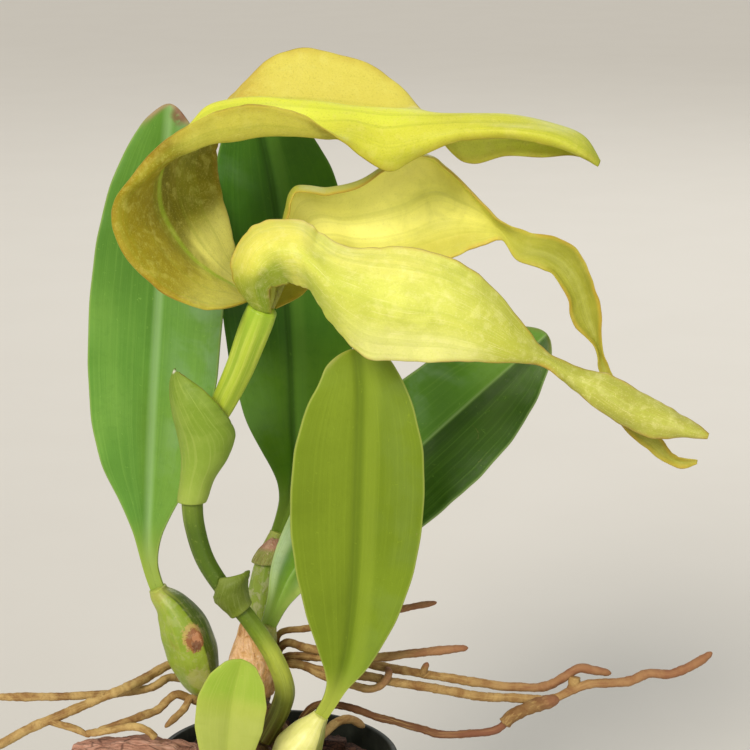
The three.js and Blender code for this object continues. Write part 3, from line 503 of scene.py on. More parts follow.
def softCorners(profile, reach, steps=4):
    # each corner of a profile cut into a small curve
    profile = np.array(profile, float)
    out = [profile[0]]
    for before, corner, after in zip(profile[:-2], profile[1:-1], profile[2:]):
        start, end = (corner + (other - corner) * min(0.45, reach / np.linalg.norm(other - corner))
                      for other in (before, after))
        for t in np.linspace(0, 1, steps + 1):
            out.append((1 - t) ** 2 * start + 2 * t * (1 - t) * corner + t * t * end)
    out.append(profile[-1])
    return np.array(out)


setTheCamera()
setTheLights()
print("camera and lights set")

# Pot: a turned shell with drain holes
pot = {
    "height": 60, "rimRadius": 32, "rimBand": 8, "shoulderIn": 3, "footRadius": 22.5, "wall": 1.8,
    "footEdge": 0.8, "rimEdge": 0.6, "cornerReach": 0.45,
    "drainHoles": 6, "drainHoleRadius": 2.5, "drainCircleRadius": 15,
    "turns": 160, "plastic": "#262a24", "dust": "#43473d", "speck": "#5d5846",
}
shoulderHeight = pot["height"] - pot["rimBand"]
shoulderRadius = pot["rimRadius"] - pot["shoulderIn"]
wallTopRadius = pot["rimRadius"] - pot["wall"]


def potPlastic(look):
    desk = NodeDesk("pot plastic", roughness=0.5, shine=0.28)
    dust = desk.between(desk.noise(7, 4, 0.65, 0.6), 0.42, 0.72)
    streak = desk.noise(3, 3, 0.6, 0, desk.stretched((1, 1, 0.12)))
    film = desk.both(dust, desk.between(streak, 0.35, 0.7, 0.15, 0.75))
    desk.colour = desk.mix(film, look["plastic"], look["dust"])
    desk.lay(desk.noise(0.7, 2, 0.6), 0.66, 0.74, look["speck"], 0.5)
    desk.bump(desk.noise(0.5, 2, 0.5), 0.03)
    desk.bump(desk.noise(9, 2, 0.5), 0.25)
    return desk.done(desk.between(dust, 0, 1, 0.46, 0.68))


def drillHoles(shell, look):
    # round cutters stand in a ring under the pot's floor and are taken out of it
    drill = bmesh.new()
    radius = look["drainHoleRadius"] * mm
    for k in range(look["drainHoles"]):
        angle = k / look["drainHoles"] * 2 * math.pi
        made = bmesh.ops.create_cone(drill, cap_ends=True, segments=32, radius1=radius, radius2=radius,
                                     depth=3 * look["wall"] * mm)
        shift = Vector((math.cos(angle), math.sin(angle), 0)) * look["drainCircleRadius"] * mm
        bmesh.ops.translate(drill, verts=made["verts"], vec=shift)
    drillMesh = bpy.data.meshes.new("drainDrill")
    drill.to_mesh(drillMesh)
    cutter = inScene("drainDrill", drillMesh)
    cut = shell.modifiers.new("drains", "BOOLEAN")
    cut.object = cutter
    cut.operation = "DIFFERENCE"
    cut.solver = "EXACT"
    bpy.context.view_layer.update()
    view = bpy.context.evaluated_depsgraph_get()
    cutMesh = bpy.data.meshes.new_from_object(shell.evaluated_get(view))
    shell.modifiers.clear()
    shell.data = cutMesh
    bpy.data.objects.remove(cutter)


def makePot(look):
    foot, rim, height, wall = look["footRadius"], look["rimRadius"], look["height"], look["wall"]
    footEdge, rimEdge = look["footEdge"], look["rimEdge"]
    underside = [[0, 0], [foot - 6, 0], [foot - footEdge, 0], [foot, footEdge]]
    outerWall = [[foot + (shoulderRadius - foot) / 2, shoulderHeight / 2], [shoulderRadius, shoulderHeight]]
    rimBand = [[rim - rimEdge, shoulderHeight + 0.4], [rim - rimEdge / 2, shoulderHeight + 1.2],
               [rim, height - rimEdge], [rim - rimEdge, height], [wallTopRadius, height]]
    innerWall = [[wallTopRadius - rimEdge, shoulderHeight + 1], [shoulderRadius - wall, shoulderHeight - 2]]
    innerFloor = [[foot - wall + 0.2, wall], [foot - 8, wall], [0, wall]]
    profile = softCorners(underside + outerWall + rimBand + innerWall + innerFloor, look["cornerReach"])
    shell = addPiece("potShell", [turnedPart(profile, look["turns"])], potPlastic(look), "pot")
    drillHoles(shell, look)


makePot(pot)
print("pot turned and drilled")

# Bark: a packed bed with loose chips on it, and the long slab at the left
barkBed = {
    "top": 56.5, "turns": 120, "rings": 20, "middle": 25, "grain": (1, 1, 2.2),
    # how far the bed stays from the pot's floor, wall, shoulder and rim
    "floorGap": 0.4, "toWall": 0.5, "shoulderGap": 1.1, "rimGap": 2,
    # size, seed and height of the roughness, and its share on the sides
    "rough": [(4, 2, 0.9), (1.6, 5, 0.4)], "sideRough": 0.35,
    "heaps": [
        {"count": 24, "seed": 7, "sizes": [(5, 12), (4, 8), (2.5, 5)], "tilt": 0.45, "reach": 21.5,
         "lift": (0.4, 2), "spiral": 2.4, "firstSeed": 1, "cuts": 7},
        {"count": 150, "seed": 11, "sizes": [(1.6, 4.6), (1.2, 3), (0.8, 2)], "tilt": 0.8, "reach": 24,
         "lift": (-0.3, 1.4), "spiral": None, "firstSeed": 40, "cuts": 3},
    ],
    "deep": "#1d120e", "mid": "#3a241b", "warm": "#5c3a29", "dust": "#7d6250",
}
chipForm = {
    "worn": 0.14, "ridge": 0.38, "ridgeGrain": (0.25, 1, 1.6), "ridgeSize": 1.3, "lump": 0.1, "lumpSize": 3.4,
}
slab = {
    "line": [[-12, -6, 58.4], [-20, -7, 61.2], [-31, -8, 63.8], [-42, -8.5, 64.2], [-53, -8, 64]],
    "widths": [[0, 5], [0.2, 7.5], [0.5, 8.5], [0.8, 7.6], [1, 5]], "cut": (84, 0.45, 1.0, 1.0),
    "flatness": 0.31, "layer": 0.35, "layerGrain": (0.22, 1.0, 1.8), "layerSize": 1.5, "step": 0.3,
    "grit": 0.2, "gritSize": 0.9, "colourGrain": (0.35, 1, 1.6),
    "swells": [(0.08, 23, 3), (0.05, 41, -5)],  # depth, waves along, waves round
    "pale": "#dfb6a2", "pink": "#c4927c", "brown": "#8a5e4c", "crack": "#4a2f25",
}


def barkSkin(look):
    desk = NodeDesk("packed bark", roughness=0.92)
    layers = desk.noise(4.5, 6, 0.7, 1.2, desk.stretched(look["grain"]))
    desk.bands(layers, look, deep=0.25, mid=0.42, warm=0.6, dust=0.78)
    desk.lay(desk.value("tone"), 0, 1, look["warm"], 0.55)
    desk.lay(desk.cells(2.6, desk.stretched(look["grain"]), "DISTANCE_TO_EDGE"), 0.09, 0, look["deep"], 0.8)
    desk.lay(desk.noise(0.8, 3, 0.6), 0.6, 0.72, look["dust"], 0.5)
    desk.bump(layers, 1.3)
    desk.bump(desk.noise(0.9, 4, 0.65), 0.35)
    return desk.done()


def boxPoints(cuts):
    # a cube of many small faces, -0.5 to 0.5
    block = bmesh.new()
    bmesh.ops.create_cube(block, size=1)
    bmesh.ops.subdivide_edges(block, edges=block.edges[:], cuts=cuts, use_grid_fill=True)
    points = np.array([v.co[:] for v in block.verts])
    faces = [tuple(v.index for v in face.verts) for face in block.faces]
    block.free()
    return points, faces


def turnMatrix(turns):
    matrix = np.eye(3)
    for axis, angle in zip("XYZ", turns):
        step = np.array(Euler([angle if a == axis else 0 for a in "XYZ"]).to_matrix())
        matrix = step @ matrix
    return matrix


def chipPart(size, turns, place, seed, cuts):
    # one broken flake of bark: a worn block with ridges along its grain
    points, faces = boxPoints(cuts)
    ball = points / np.max(np.abs(points), axis=1, keepdims=True) * 0.5
    rounder = unit(points) * 0.6 * np.linalg.norm(ball, axis=1, keepdims=True)
    scaled = (points * (1 - chipForm["worn"]) + rounder * chipForm["worn"]) * np.array(size)
    ridge = grainAt(scaled * np.array(chipForm["ridgeGrain"]), chipForm["ridgeSize"], seed)
    lump = grainAt(scaled, chipForm["lumpSize"], seed + 3)
    scaled = scaled * (1 + chipForm["lump"] * lump[:, None])
    scaled = scaled + unit(points) * ridge[:, None] * chipForm["ridge"]
    span = [[(0.5 + points[v][0], 0.5 + points[v][1]) for v in face] for face in faces]
    tone = 0.5 + 0.5 * math.sin(seed * 12.9)
    return {"points": scaled @ turnMatrix(turns).T + np.array(place), "faces": faces, "span": np.array(span),
            "values": {"tone": tone}}


def seededDraw(seed):
    state = [seed]

    def draw(low=0.0, high=1.0):
        state[0] = (state[0] * 1664525 + 1013904223) % 4294967296
        return low + (high - low) * state[0] / 4294967296
    return draw


def bedPart(look):
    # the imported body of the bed, from the pot's floor to its rough top
    floorLevel = pot["wall"] + look["floorGap"]
    footRadius = pot["footRadius"] - pot["wall"] - look["toWall"]
    topRadius = shoulderRadius - pot["wall"] - look["shoulderGap"]
    rimRadius = wallTopRadius - look["rimGap"]
    rings = look["rings"]
    profile = [[0, floorLevel], [footRadius - 5, floorLevel], [footRadius, floorLevel],
               [(footRadius + topRadius) / 2, look["middle"]], [topRadius, shoulderHeight - 3.5],
               [rimRadius, shoulderHeight + 1.5]]
    profile += [[(rimRadius - 2) * (1 - k / rings), look["top"] - 0.6 + k / rings] for k in range(rings)]
    profile += [[0, look["top"] + 0.4]]
    bed = turnedPart(profile, look["turns"])
    points = bed["points"]
    rough = sum(grainAt(points, size, seed) * height for size, seed, height in look["rough"])
    inward = np.clip(points[:, 2] / 10, 0, 1)
    flat = points[:, :2]
    points[:, :2] = flat - unit(flat) * (look["sideRough"] * inward * np.abs(rough))[:, None]
    onTop = (points[:, 2] > look["top"] - 1) & (np.linalg.norm(flat, axis=1) < rimRadius - 1)
    points[:, 2] += onTop * rough
    bed["values"] = {"tone": 0.1}
    return bed


def makeBark(look):
    parts = [bedPart(look)]
    for heap in look["heaps"]:
        draw = seededDraw(heap["seed"])
        for k in range(heap["count"]):
            size = [draw(*limits) for limits in heap["sizes"]]
            turns = [draw(-heap["tilt"], heap["tilt"]), draw(-heap["tilt"], heap["tilt"]), draw(0, math.pi)]
            if heap["spiral"]:
                reach, angle = heap["reach"] * math.sqrt((k + 0.5) / heap["count"]), k * heap["spiral"]
            else:
                reach, angle = heap["reach"] * math.sqrt(draw()), draw(0, 2 * math.pi)
            place = [reach * math.cos(angle), reach * math.sin(angle), look["top"] + draw(*heap["lift"])]
            parts.append(chipPart(size, turns, place, k + heap["firstSeed"], heap["cuts"]))
    addPiece("barkBed", parts, barkSkin(look), "bark_medium")


def slabSkin(look):
    desk = NodeDesk("slab bark", roughness=0.9)
    grain = desk.stretched(look["colourGrain"])
    layers = desk.noise(4, 6, 0.7, 0.8, grain)
    desk.bands(layers, look, crack=0.28, brown=0.4, pink=0.52, pale=0.66)
    desk.lay(desk.noise(11, 3, 0.6), 0.45, 0.65, look["pink"], 0.5)
    desk.lay(desk.cells(3.4, grain, "DISTANCE_TO_EDGE"), 0.06, 0, look["crack"], 0.7)
    desk.bump(layers, 1.2)
    desk.bump(desk.noise(0.8, 4, 0.65), 0.3)
    return desk.done()


def makeSlab(look):
    def radiusAt(parts, angles):
        rough = 1
        for depth, along, around in look["swells"]:
            rough = rough + depth * np.sin(along * parts + around * angles)
        return readOff(look["widths"], parts, 0.03) * rough
    part = roundPart(look["line"], radiusAt, *look["cut"], look["flatness"])
    points = part["points"]
    layered = grainAt(points * np.array(look["layerGrain"]), look["layerSize"], 4)
    steps = np.floor((layered + 1) * 3) / 3 - 1
    grit = look["grit"] * grainAt(points, look["gritSize"], 8)
    raised = look["layer"] * layered + look["step"] * steps + grit
    axis = throughPoints(look["line"], np.linspace(0, 1, 200))
    nearest = axis[np.argmin(((points[:, None] - axis[None]) ** 2).sum(2), axis=1)]
    part["points"] = points + unit(points - nearest) * raised[:, None]
    addPiece("barkSlab", [part], slabSkin(look), "bark_slab")


makeBark(barkBed)
makeSlab(slab)
print("bark laid")

# Rhizome: a creeping stem with short branches, ringed by old leaf scars
rhizome = {
    "lines": [
        [[3, -8, 51], [3, -3.5, 60], [-1, 2, 68], [-6, 6, 70.5], [-13, 8.4, 70], [-18.6, 9, 70.5]],
        [[-5, 6, 70], [-5, 11, 74], [-4.6, 14.6, 79.5]],
        [[2.6, -5.5, 54.5], [-1.5, -6, 56], [-4.6, -6.3, 58.6], [-5.4, -6.4, 62], [-3.9, -6.4, 65.4]],
        [[3, -8, 52], [2.6, -10.2, 57]],
        [[3, -8, 52], [-3, -12.5, 50.5], [-8.6, -15.6, 50.5]],
    ],
    "cut": (40, 0.5, 0.8, 0.8), "radius": 3, "rings": 4.5, "ringed": 0.12, "waist": 0.1,
    "swell": 0.07, "swells": 18, "ribbed": 0.02, "ribs": 9, "ribTurn": 20,
    "brown": "#7a5c34", "pale": "#a98d56", "ring": "#3f2a18",
}


def rhizomeSkin(look):
    desk = NodeDesk("rhizome skin", roughness=0.8)
    fibres = desk.noise(3, 5, 0.65, 0.4)
    desk.bands(fibres, look, ring=0.3, brown=0.5, pale=0.72)
    ringWave = desk.math("SINE", desk.both(desk.span("along"), look["rings"] * 2 * math.pi))
    desk.lay(ringWave, 0.9, 1.0, look["ring"], 0.7)
    strands = desk.streaks(22, 5, True)
    desk.lay(strands, 0.52, 0.66, look["ring"], 0.4)
    desk.bump(strands, 0.6)
    desk.bump(fibres, 0.7)
    return desk.done()


def makeRhizome(look):
    def radiusAt(parts, angles):
        swell = 1 + look["swell"] * np.cos(look["swells"] * parts)
        ringed = look["ringed"] * np.clip(np.sin(parts * look["rings"] * 2 * math.pi), 0.8, 1)
        ribs = look["ribbed"] * np.sin(look["ribs"] * angles + look["ribTurn"] * parts)
        return look["radius"] * (swell + ringed - look["waist"] + ribs)
    parts = [roundPart(line, radiusAt, *look["cut"]) for line in look["lines"]]
    addPiece("creepingStem", parts, rhizomeSkin(look), "rhizome")


makeRhizome(rhizome)
print("rhizome grown")

# Pseudobulbs: each is a pod from its foot to the neck that carries its leaf
bulbs = {
    "left": {
        "line": [[-18.6, 9, 73], [-20.7, 8.8, 79.5], [-23.8, 8.7, 90.5],
                 [-27.2, 8.8, 97.4], [-30.3, 9, 101], [-31.4, 9, 103.2]],
        "radii": [[0, 2.6], [0.12, 5], [0.35, 7.1], [0.6, 6.8], [0.76, 5.2], [0.88, 3.6], [1, 2.2]],
        # facets: middle and half width in degrees, colour, strength; each flat face carries painted shading,
        # dark on the faces turned away from the light on the left and front bulbs
        "ridge": 0.01, "facets": [(77, 41, "#3d5410", 0.9), (318, 28, "#8fa636", 0.2)],
        "flesh": "#91a535", "shade": "#839a2b", "light": "#b4bb55", "scurf": 0.12, "scar": 0.15,
        "marks": [
            ([-21.4, 1.8, 92.0], 4.4, "#c9a068", 0.6, (1, 1, 0.74)),
            ([-21, 1.8, 91], 3.6, "#8c5434", 0.9, (1, 1, 0.74)),
            ([-20.4, 1.8, 91.8], 2.2, "#c78e66", 0.7, (1, 1, 0.6)),
            ([-20.6, 1.8, 89.4], 1.9, "#5e3420", 0.7, (1, 1, 0.9)),
            ([-20.4, 2.2, 79.5], 5.2, "#d8bb98", 0.22, (1, 1, 1)),
        ],
    },
    "back": {
        "line": [[-4.5, 15, 81], [-4.5, 16, 91.5], [-3.3, 18, 105], [0, 20, 115]],
        "radii": [[0, 2], [0.15, 3.4], [0.45, 4], [0.75, 3], [1, 1.9]],
        "ridge": 0.05, "facets": [(60, 24, "#a3b64c", 0.4)],
        "flesh": "#97ad40", "shade": "#859f38", "light": "#c3c888", "scurf": 0.4, "scar": 0.1,
    },
    "right": {
        "line": [[-6.5, 5, 74], [-6.3, 5, 79], [-4.5, 5.2, 87], [-2, 6, 94]],
        "radii": [[0, 2.2], [0.2, 4.6], [0.5, 5.2], [0.8, 3.6], [1, 2]],
        "ridge": 0.05, "facets": [],
        "flesh": "#8d9c35", "shade": "#6d7d2a", "light": "#b9ab62", "scurf": 0.5, "scar": 0.3,
    },
    "front": {
        "line": [[2.5, -11, 58.5], [5.2, -12, 64.5], [8.5, -12.3, 70.5], [12, -12.5, 76]],
        "radii": [[0, 3], [0.2, 5.8], [0.45, 6.5], [0.75, 4.4], [0.9, 2.7], [1, 2.1]],
        "ridge": 0.015, "facets": [(72, 36, "#7f8a2c", 0.8)],
        "flesh": "#e4e38e", "shade": "#d3d477", "light": "#efecae", "scurf": 0.05, "scar": 0.04,
    },
    "small": {
        "line": [[-9, -16, 52.5], [-10, -18, 56.5], [-11, -20, 60.5]],
        "radii": [[0, 2.2], [0.35, 4], [0.75, 3.2], [1, 1.8]],
        "ridge": 0.03, "facets": [],
        "flesh": "#a9b545", "shade": "#83962f", "light": "#c9cb72", "scurf": 0.15, "scar": 0.1,
    },
}
bulbForm = {
    "cut": (96, 0.4, 1.2, 0.3), "ridges": 4, "furrows": 12, "furrow": 0.006, "furrowBend": (3, 5),
    "facetDepth": 0.5, "joint": (0.972, 0.012), "jointDepth": 0.04,  # the joint's place along, its width
    "neckColour": "#bfc065", "footColour": "#b08f62", "scurfColour": "#d3cbae", "scarColour": "#8a5c34",
}


def bulbSkin(name, look):
    desk = NodeDesk(name, roughness=0.4, coat=0.08, glow=0.1, glowDepth=1.5, shine=0.3)
    across, along = desk.span("across"), desk.span("along")
    desk.colour = desk.mix(desk.between(desk.noise(8, 3, 0.55), 0.35, 0.65), look["shade"], look["flesh"])
    # painted shading on the flat faces, dark where they turn away from the light
    for middle, half, code, strength in look["facets"]:
        desk.cover(desk.window(across, (middle - half) / 360, (middle + half) / 360, 0.008), code, strength)
    desk.lay(along, 0.8, 1, bulbForm["neckColour"], 0.45)
    strands = desk.streaks(30, 1.6, True)
    desk.lay(strands, 0.5, 0.66, look["light"], 0.22)
    desk.lay(desk.streaks(110, 6, True, 2), 0.54, 0.7, look["shade"], 0.3)
    desk.lay(desk.cells(0.9), 0.28, 0, look["light"], 0.14)
    desk.lay(along, 0.12, 0, bulbForm["footColour"], 0.6)
    ragged = desk.between(desk.noise(1.1, 5, 0.75, 0.6), 0.25, 0.75, -0.4, 0.4)
    for point, reach, code, strength, factors in look.get("marks", []):
        desk.lay(desk.math("ADD", desk.near(point, reach, factors), ragged), 0.35, 0.6, code, strength)
    scurf = desk.between(desk.noise(2.2, 5, 0.7, 0.8), 0.5, 0.62, 0, look["scurf"])
    desk.cover(scurf, bulbForm["scurfColour"])
    desk.lay(desk.noise(5.5, 4, 0.65, 0.5), 0.6, 0.66, bulbForm["scarColour"], look["scar"])
    desk.bump(strands, 0.08)
    desk.bump(desk.noise(3, 3, 0.5), 0.3)
    desk.bump(scurf, 0.15)
    return desk.done(desk.between(scurf, 0, 1, 0.4, 0.7))


def makeBulb(place, look):
    def radiusAt(parts, angles):
        body = readOff(look["radii"], parts, 0.05)
        ridges = 1 + look["ridge"] * np.cos(bulbForm["ridges"] * angles)
        bend, bends = bulbForm["furrowBend"]
        furrows = np.cos(bulbForm["furrows"] * angles + bend * np.sin(bends * parts))
        furrows = furrows * np.sin(math.pi * parts)
        joint = 1 - bulbForm["jointDepth"] * hump(parts, *bulbForm["joint"])
        swell = np.sin(math.pi * np.clip(parts, 0, 1)) ** 0.6
        for middle, half, *_ in look["facets"]:
            # flatter between two angles, so that an edge stands at each of them
            turned = (angles - math.radians(middle) + math.pi) % (2 * math.pi) - math.pi
            inside = np.abs(turned) < math.radians(half)
            flat = math.cos(math.radians(half)) / np.cos(np.where(inside, turned, 0))
            body = body * np.where(inside, 1 + bulbForm["facetDepth"] * (flat - 1) * swell, 1)
        return body * ridges * (1 - bulbForm["furrow"] * furrows) * joint
    part = roundPart(look["line"], radiusAt, *bulbForm["cut"])
    addPiece("bulb_" + place, [part], bulbSkin("bulb " + place, look), "pseudobulb_" + place)


for place, look in bulbs.items():
    makeBulb(place, look)
print("pseudobulbs grown")

# Leaves: a spine from the stalk to the tip, and half the width along it
# each leaf's midrib colour mixes its own tone with painted shade of its groove, and painted shading lies next
# to it on the right half
leaves = {
    "left": {
        "spine": [[-33, 9.4, 108.5], [-33.5, 10, 116], [-33, 11, 129], [-32, 12, 148],
                  [-30.5, 13, 169], [-29, 14, 189.5], [-28, 15, 210], [-26, 16, 229.5]],
        "widths": [[0, 1.8], [0.06, 2], [0.12, 3.6], [0.18, 7], [0.26, 12.4], [0.35, 15.4], [0.47, 17],
                   [0.6, 17.4], [0.72, 16.4], [0.83, 13.4], [0.92, 9], [0.97, 5.6], [1, 1.2]],
        "facing": [-0.1, -1, 0.1], "fold": 0.2, "rib": 0.55, "wave": 0.22, "waveSeed": 1.0,
        # marks: a red-brown blotch near the tip, and a painted highlight, the whitish glare on the upper
        # blade
        "marks": [([-23.6, 15, 226.5], 3.2, "#7a4f3c", 0.8), ([-26, 14, 206], 8, "#93ad8c", 0.35)],
        "blade": "#5f9034", "deep": "#4b7c28", "bright": "#7fac4a", "right": "#6a983e", "margin": "#93ad5c",
        "midribToneAndShade": ("#98bd80", 2.2, 0.5), "midribSideShading": ("#4f7f2c", 1.8, 4.4, 0.15), "line": "#7fa860",
        "bloomAndSheenSide": (0.5, 0.85), "bloomAndSheen": 0.3, "zones": [((0.1, 0.42), (0.4, 1.2), "#7ba238", 0.4)],
        "tip": "#a07860", "tipStrength": 0.75, "stalk": "#92a53c", "under": "#77a04c", "gloss": 0.44,
    },
    "back": {
        "spine": [[1.5, 20.6, 119.2], [3.4, 20.6, 125], [4.4, 20, 134], [4, 20, 147],
                  [3.4, 21, 165], [2, 22, 185.5], [-1, 22, 209], [-6, 20, 233.5]],
        "widths": [[0, 1.7], [0.05, 1.9], [0.12, 3.8], [0.2, 8.4], [0.28, 12.6], [0.4, 16],
                   [0.55, 17.4], [0.7, 17.6], [0.8, 15.8], [0.88, 12], [0.95, 7.6], [1, 1.4]],
        "facing": [0.15, -1, 0.1], "fold": 0.18, "rib": 0.55, "wave": 0.25, "waveSeed": 2.4,
        "blade": "#40701a", "deep": "#2f5810", "bright": "#5a8726", "right": "#4b7c1a", "margin": "#658a3a",
        "midribToneAndShade": ("#294c0e", 2.0, 0.65), "midribSideShading": ("#639030", 1.4, 4.6, 0.5), "line": "#3f6a1c",
        "bloomAndSheenSide": (0.5, 0.15), "bloomAndSheen": 0.1, "zones": [((0.06, 0.42), (-0.2, 1.2), "#69981c", 0.55)],
        "tip": "#7c7a3c", "tipStrength": 0.4, "stalk": "#7f9a34", "under": "#5a8436", "gloss": 0.42,
    },
    "right": {
        "spine": [[0.8, 6.6, 101], [5, 8, 109], [13, 10.5, 117.5], [24, 14, 126.5],
                  [37.5, 19, 138.5], [51.5, 23, 150.5], [62.5, 25, 160], [71, 26, 167.5]],
        "widths": [[0, 1.8], [0.07, 2.8], [0.14, 5.6], [0.24, 10], [0.36, 14], [0.5, 16],
                   [0.64, 16.4], [0.76, 15], [0.87, 11.6], [0.95, 7], [1, 1.4]],
        "facing": [0.1, -1, 0.35], "fold": 0.3, "rib": 0.55, "wave": 0.3, "waveSeed": 4.1,
        # its right half, the lower one, is painted dark as shade
        "blade": "#588a1e", "deep": "#457214", "bright": "#76a23c", "right": "#203c06", "margin": "#9ab36c",
        "midribToneAndShade": ("#86a85c", 0.9, 0.5), "midribSideShading": ("#24420a", 0.8, 4.0, 0.5), "line": "#9dbb74",
        "bloomAndSheenSide": (0.5, 0.15), "bloomAndSheen": 0.25,
        "zones": [
            ((-0.1, 0.22), (0.3, 1.2), "#86b536", 0.8),
            # a painted highlight, bluish-white along one edge of the folded stalk
            ((0.02, 0.26), (-0.2, 0.2), "#cfe6b4", 0.7),
            ((0.02, 0.15), (0.8, 1.2), "#cfdc78", 0.7),
        ],
        "tip": "#7c7a3c", "tipStrength": 0.4, "stalk": "#98b84c", "under": "#5f8a38", "gloss": 0.42,
    },
    "front": {
        "spine": [[14.3, -12.8, 80], [16.5, -13, 85.5], [18.4, -14, 93], [19.8, -15.5, 105],
                  [20.6, -17, 117.5], [21, -18, 130], [21.4, -19, 141], [21.8, -19, 153],
                  [22, -19, 164], [21, -18, 174]],
        "widths": [[0, 1.8], [0.05, 1.9], [0.1, 2.6], [0.18, 6.6], [0.3, 11.4], [0.42, 14.6],
                   [0.53, 16.3], [0.64, 16.7], [0.76, 15.9], [0.87, 12.9], [0.95, 8.8], [1, 1.6]],
        "facing": [0.08, -1, 0.12], "fold": 0.16, "rib": 0.55, "wave": 0.2, "waveSeed": 5.7,
        "blade": "#748a18", "deep": "#657b10", "bright": "#869c26", "right": "#698014", "margin": "#a4b056",
        "midribToneAndShade": ("#5c7210", 2.4, 0.7), "midribSideShading": ("#93a832", 1.8, 5.2, 0.28), "line": "#6d8318",
        "bloomAndSheenSide": (0.5, 0.85), "bloomAndSheen": 0.04, "zones": [((0.06, 0.45), (0.55, 1.2), "#7f9822", 0.4)],
        "tip": "#a9a050", "tipStrength": 0.3, "stalk": "#a6b244", "under": "#8ea23a", "gloss": 0.46,
    },
    "small": {
        "spine": [[-11.3, -21.3, 63], [-11.6, -23, 71], [-10.2, -24.5, 83.5], [-7.5, -24, 95.5]],
        "widths": [[0, 1.6], [0.14, 3.6], [0.3, 6.8], [0.5, 8.6],
                   [0.7, 8.8], [0.86, 7], [0.95, 4.4], [1, 1.2]],
        "facing": [0.05, -1, 0.15], "fold": 0.12, "rib": 0.2, "wave": 0.1, "waveSeed": 7.3,
        "blade": "#a5b44a", "deep": "#9aab40", "bright": "#b5c05c", "right": "#adb952", "margin": "#aab650",
        "midribToneAndShade": ("#9fb044", 2.0, 0.15), "midribSideShading": ("#b5c05c", 1.4, 3, 0.1), "line": "#a5b44a",
        "bloomAndSheenSide": (0.5, 0.85), "bloomAndSheen": 0.0,
        "zones": [((0.1, 0.6), (-0.2, 1.2), "#aeb860", 0.5), ((0.72, 1.2), (-0.2, 1.2), "#82a828", 0.6)],
        "tip": "#8aa03c", "tipStrength": 0.3, "stalk": "#c0c47c", "under": "#b0bb4a", "gloss": 0.5,
    },
}
leafForm = {
    "rows": 64, "crowding": 1.6, "net": (150, 40), "seat": -0.9, "blade": 1.1, "stalk": 2.2, "margin": 0.45,
    "ribWidth": 1.5, "puff": 0.35, "pitches": (9, 8), "tipFrom": 0.955, "stalkEnd": 0.2, "foldCurve": 1.4,
    # the widths from which a leaf waves and its midrib stands in full, and the share where the midrib ends
    "waveFrom": 20, "ribFrom": 12, "ribEnd": 0.12,
    # the whitish cast is partly the leaf's own film and partly painted sheen
    "bloomAndSheenColour": "#93b094", "fleckColour": "#8a8248",
}


def leafWidths(look, places):
    # half the width, rounded off to nothing at the tip
    pairs = look["widths"][:-1]
    (before, wide), (last, narrow) = pairs[-2:]
    end = max(narrow * 0.5, narrow + (narrow - wide) / (last - before) * (1 - last))
    toTip = np.clip((places - leafForm["tipFrom"]) / (1 - leafForm["tipFrom"]), 0, 1)
    return readOff(pairs + [[1, end]], places, 0.02) * np.sqrt(1 - toTip ** 2 * 0.999)


def leafRows(look, neck):
    # rows across the leaf, closer together towards its tip
    foot = neck + unit(np.array(look["spine"][0], float) - neck) * leafForm["seat"]
    spine = [foot.tolist()] + look["spine"]
    parts = 1 - (1 - np.linspace(0, 1, leafForm["rows"])) ** leafForm["crowding"]
    places = evenPlaces(spine, parts)
    centres = throughPoints(spine, places)
    tangents = tangentsAt(spine, places)
    sides = unit(np.cross(tangents, look["facing"]))
    fronts = np.cross(sides, tangents)
    halves = leafWidths(look, parts)[:, None]
    rows = []
    for s in (-1, -0.5, 0, 0.5, 1):
        rows.append(centres + (sides * s + fronts * look["fold"] * abs(s) ** leafForm["foldCurve"]) * halves)
    return np.stack(rows, axis=1), parts


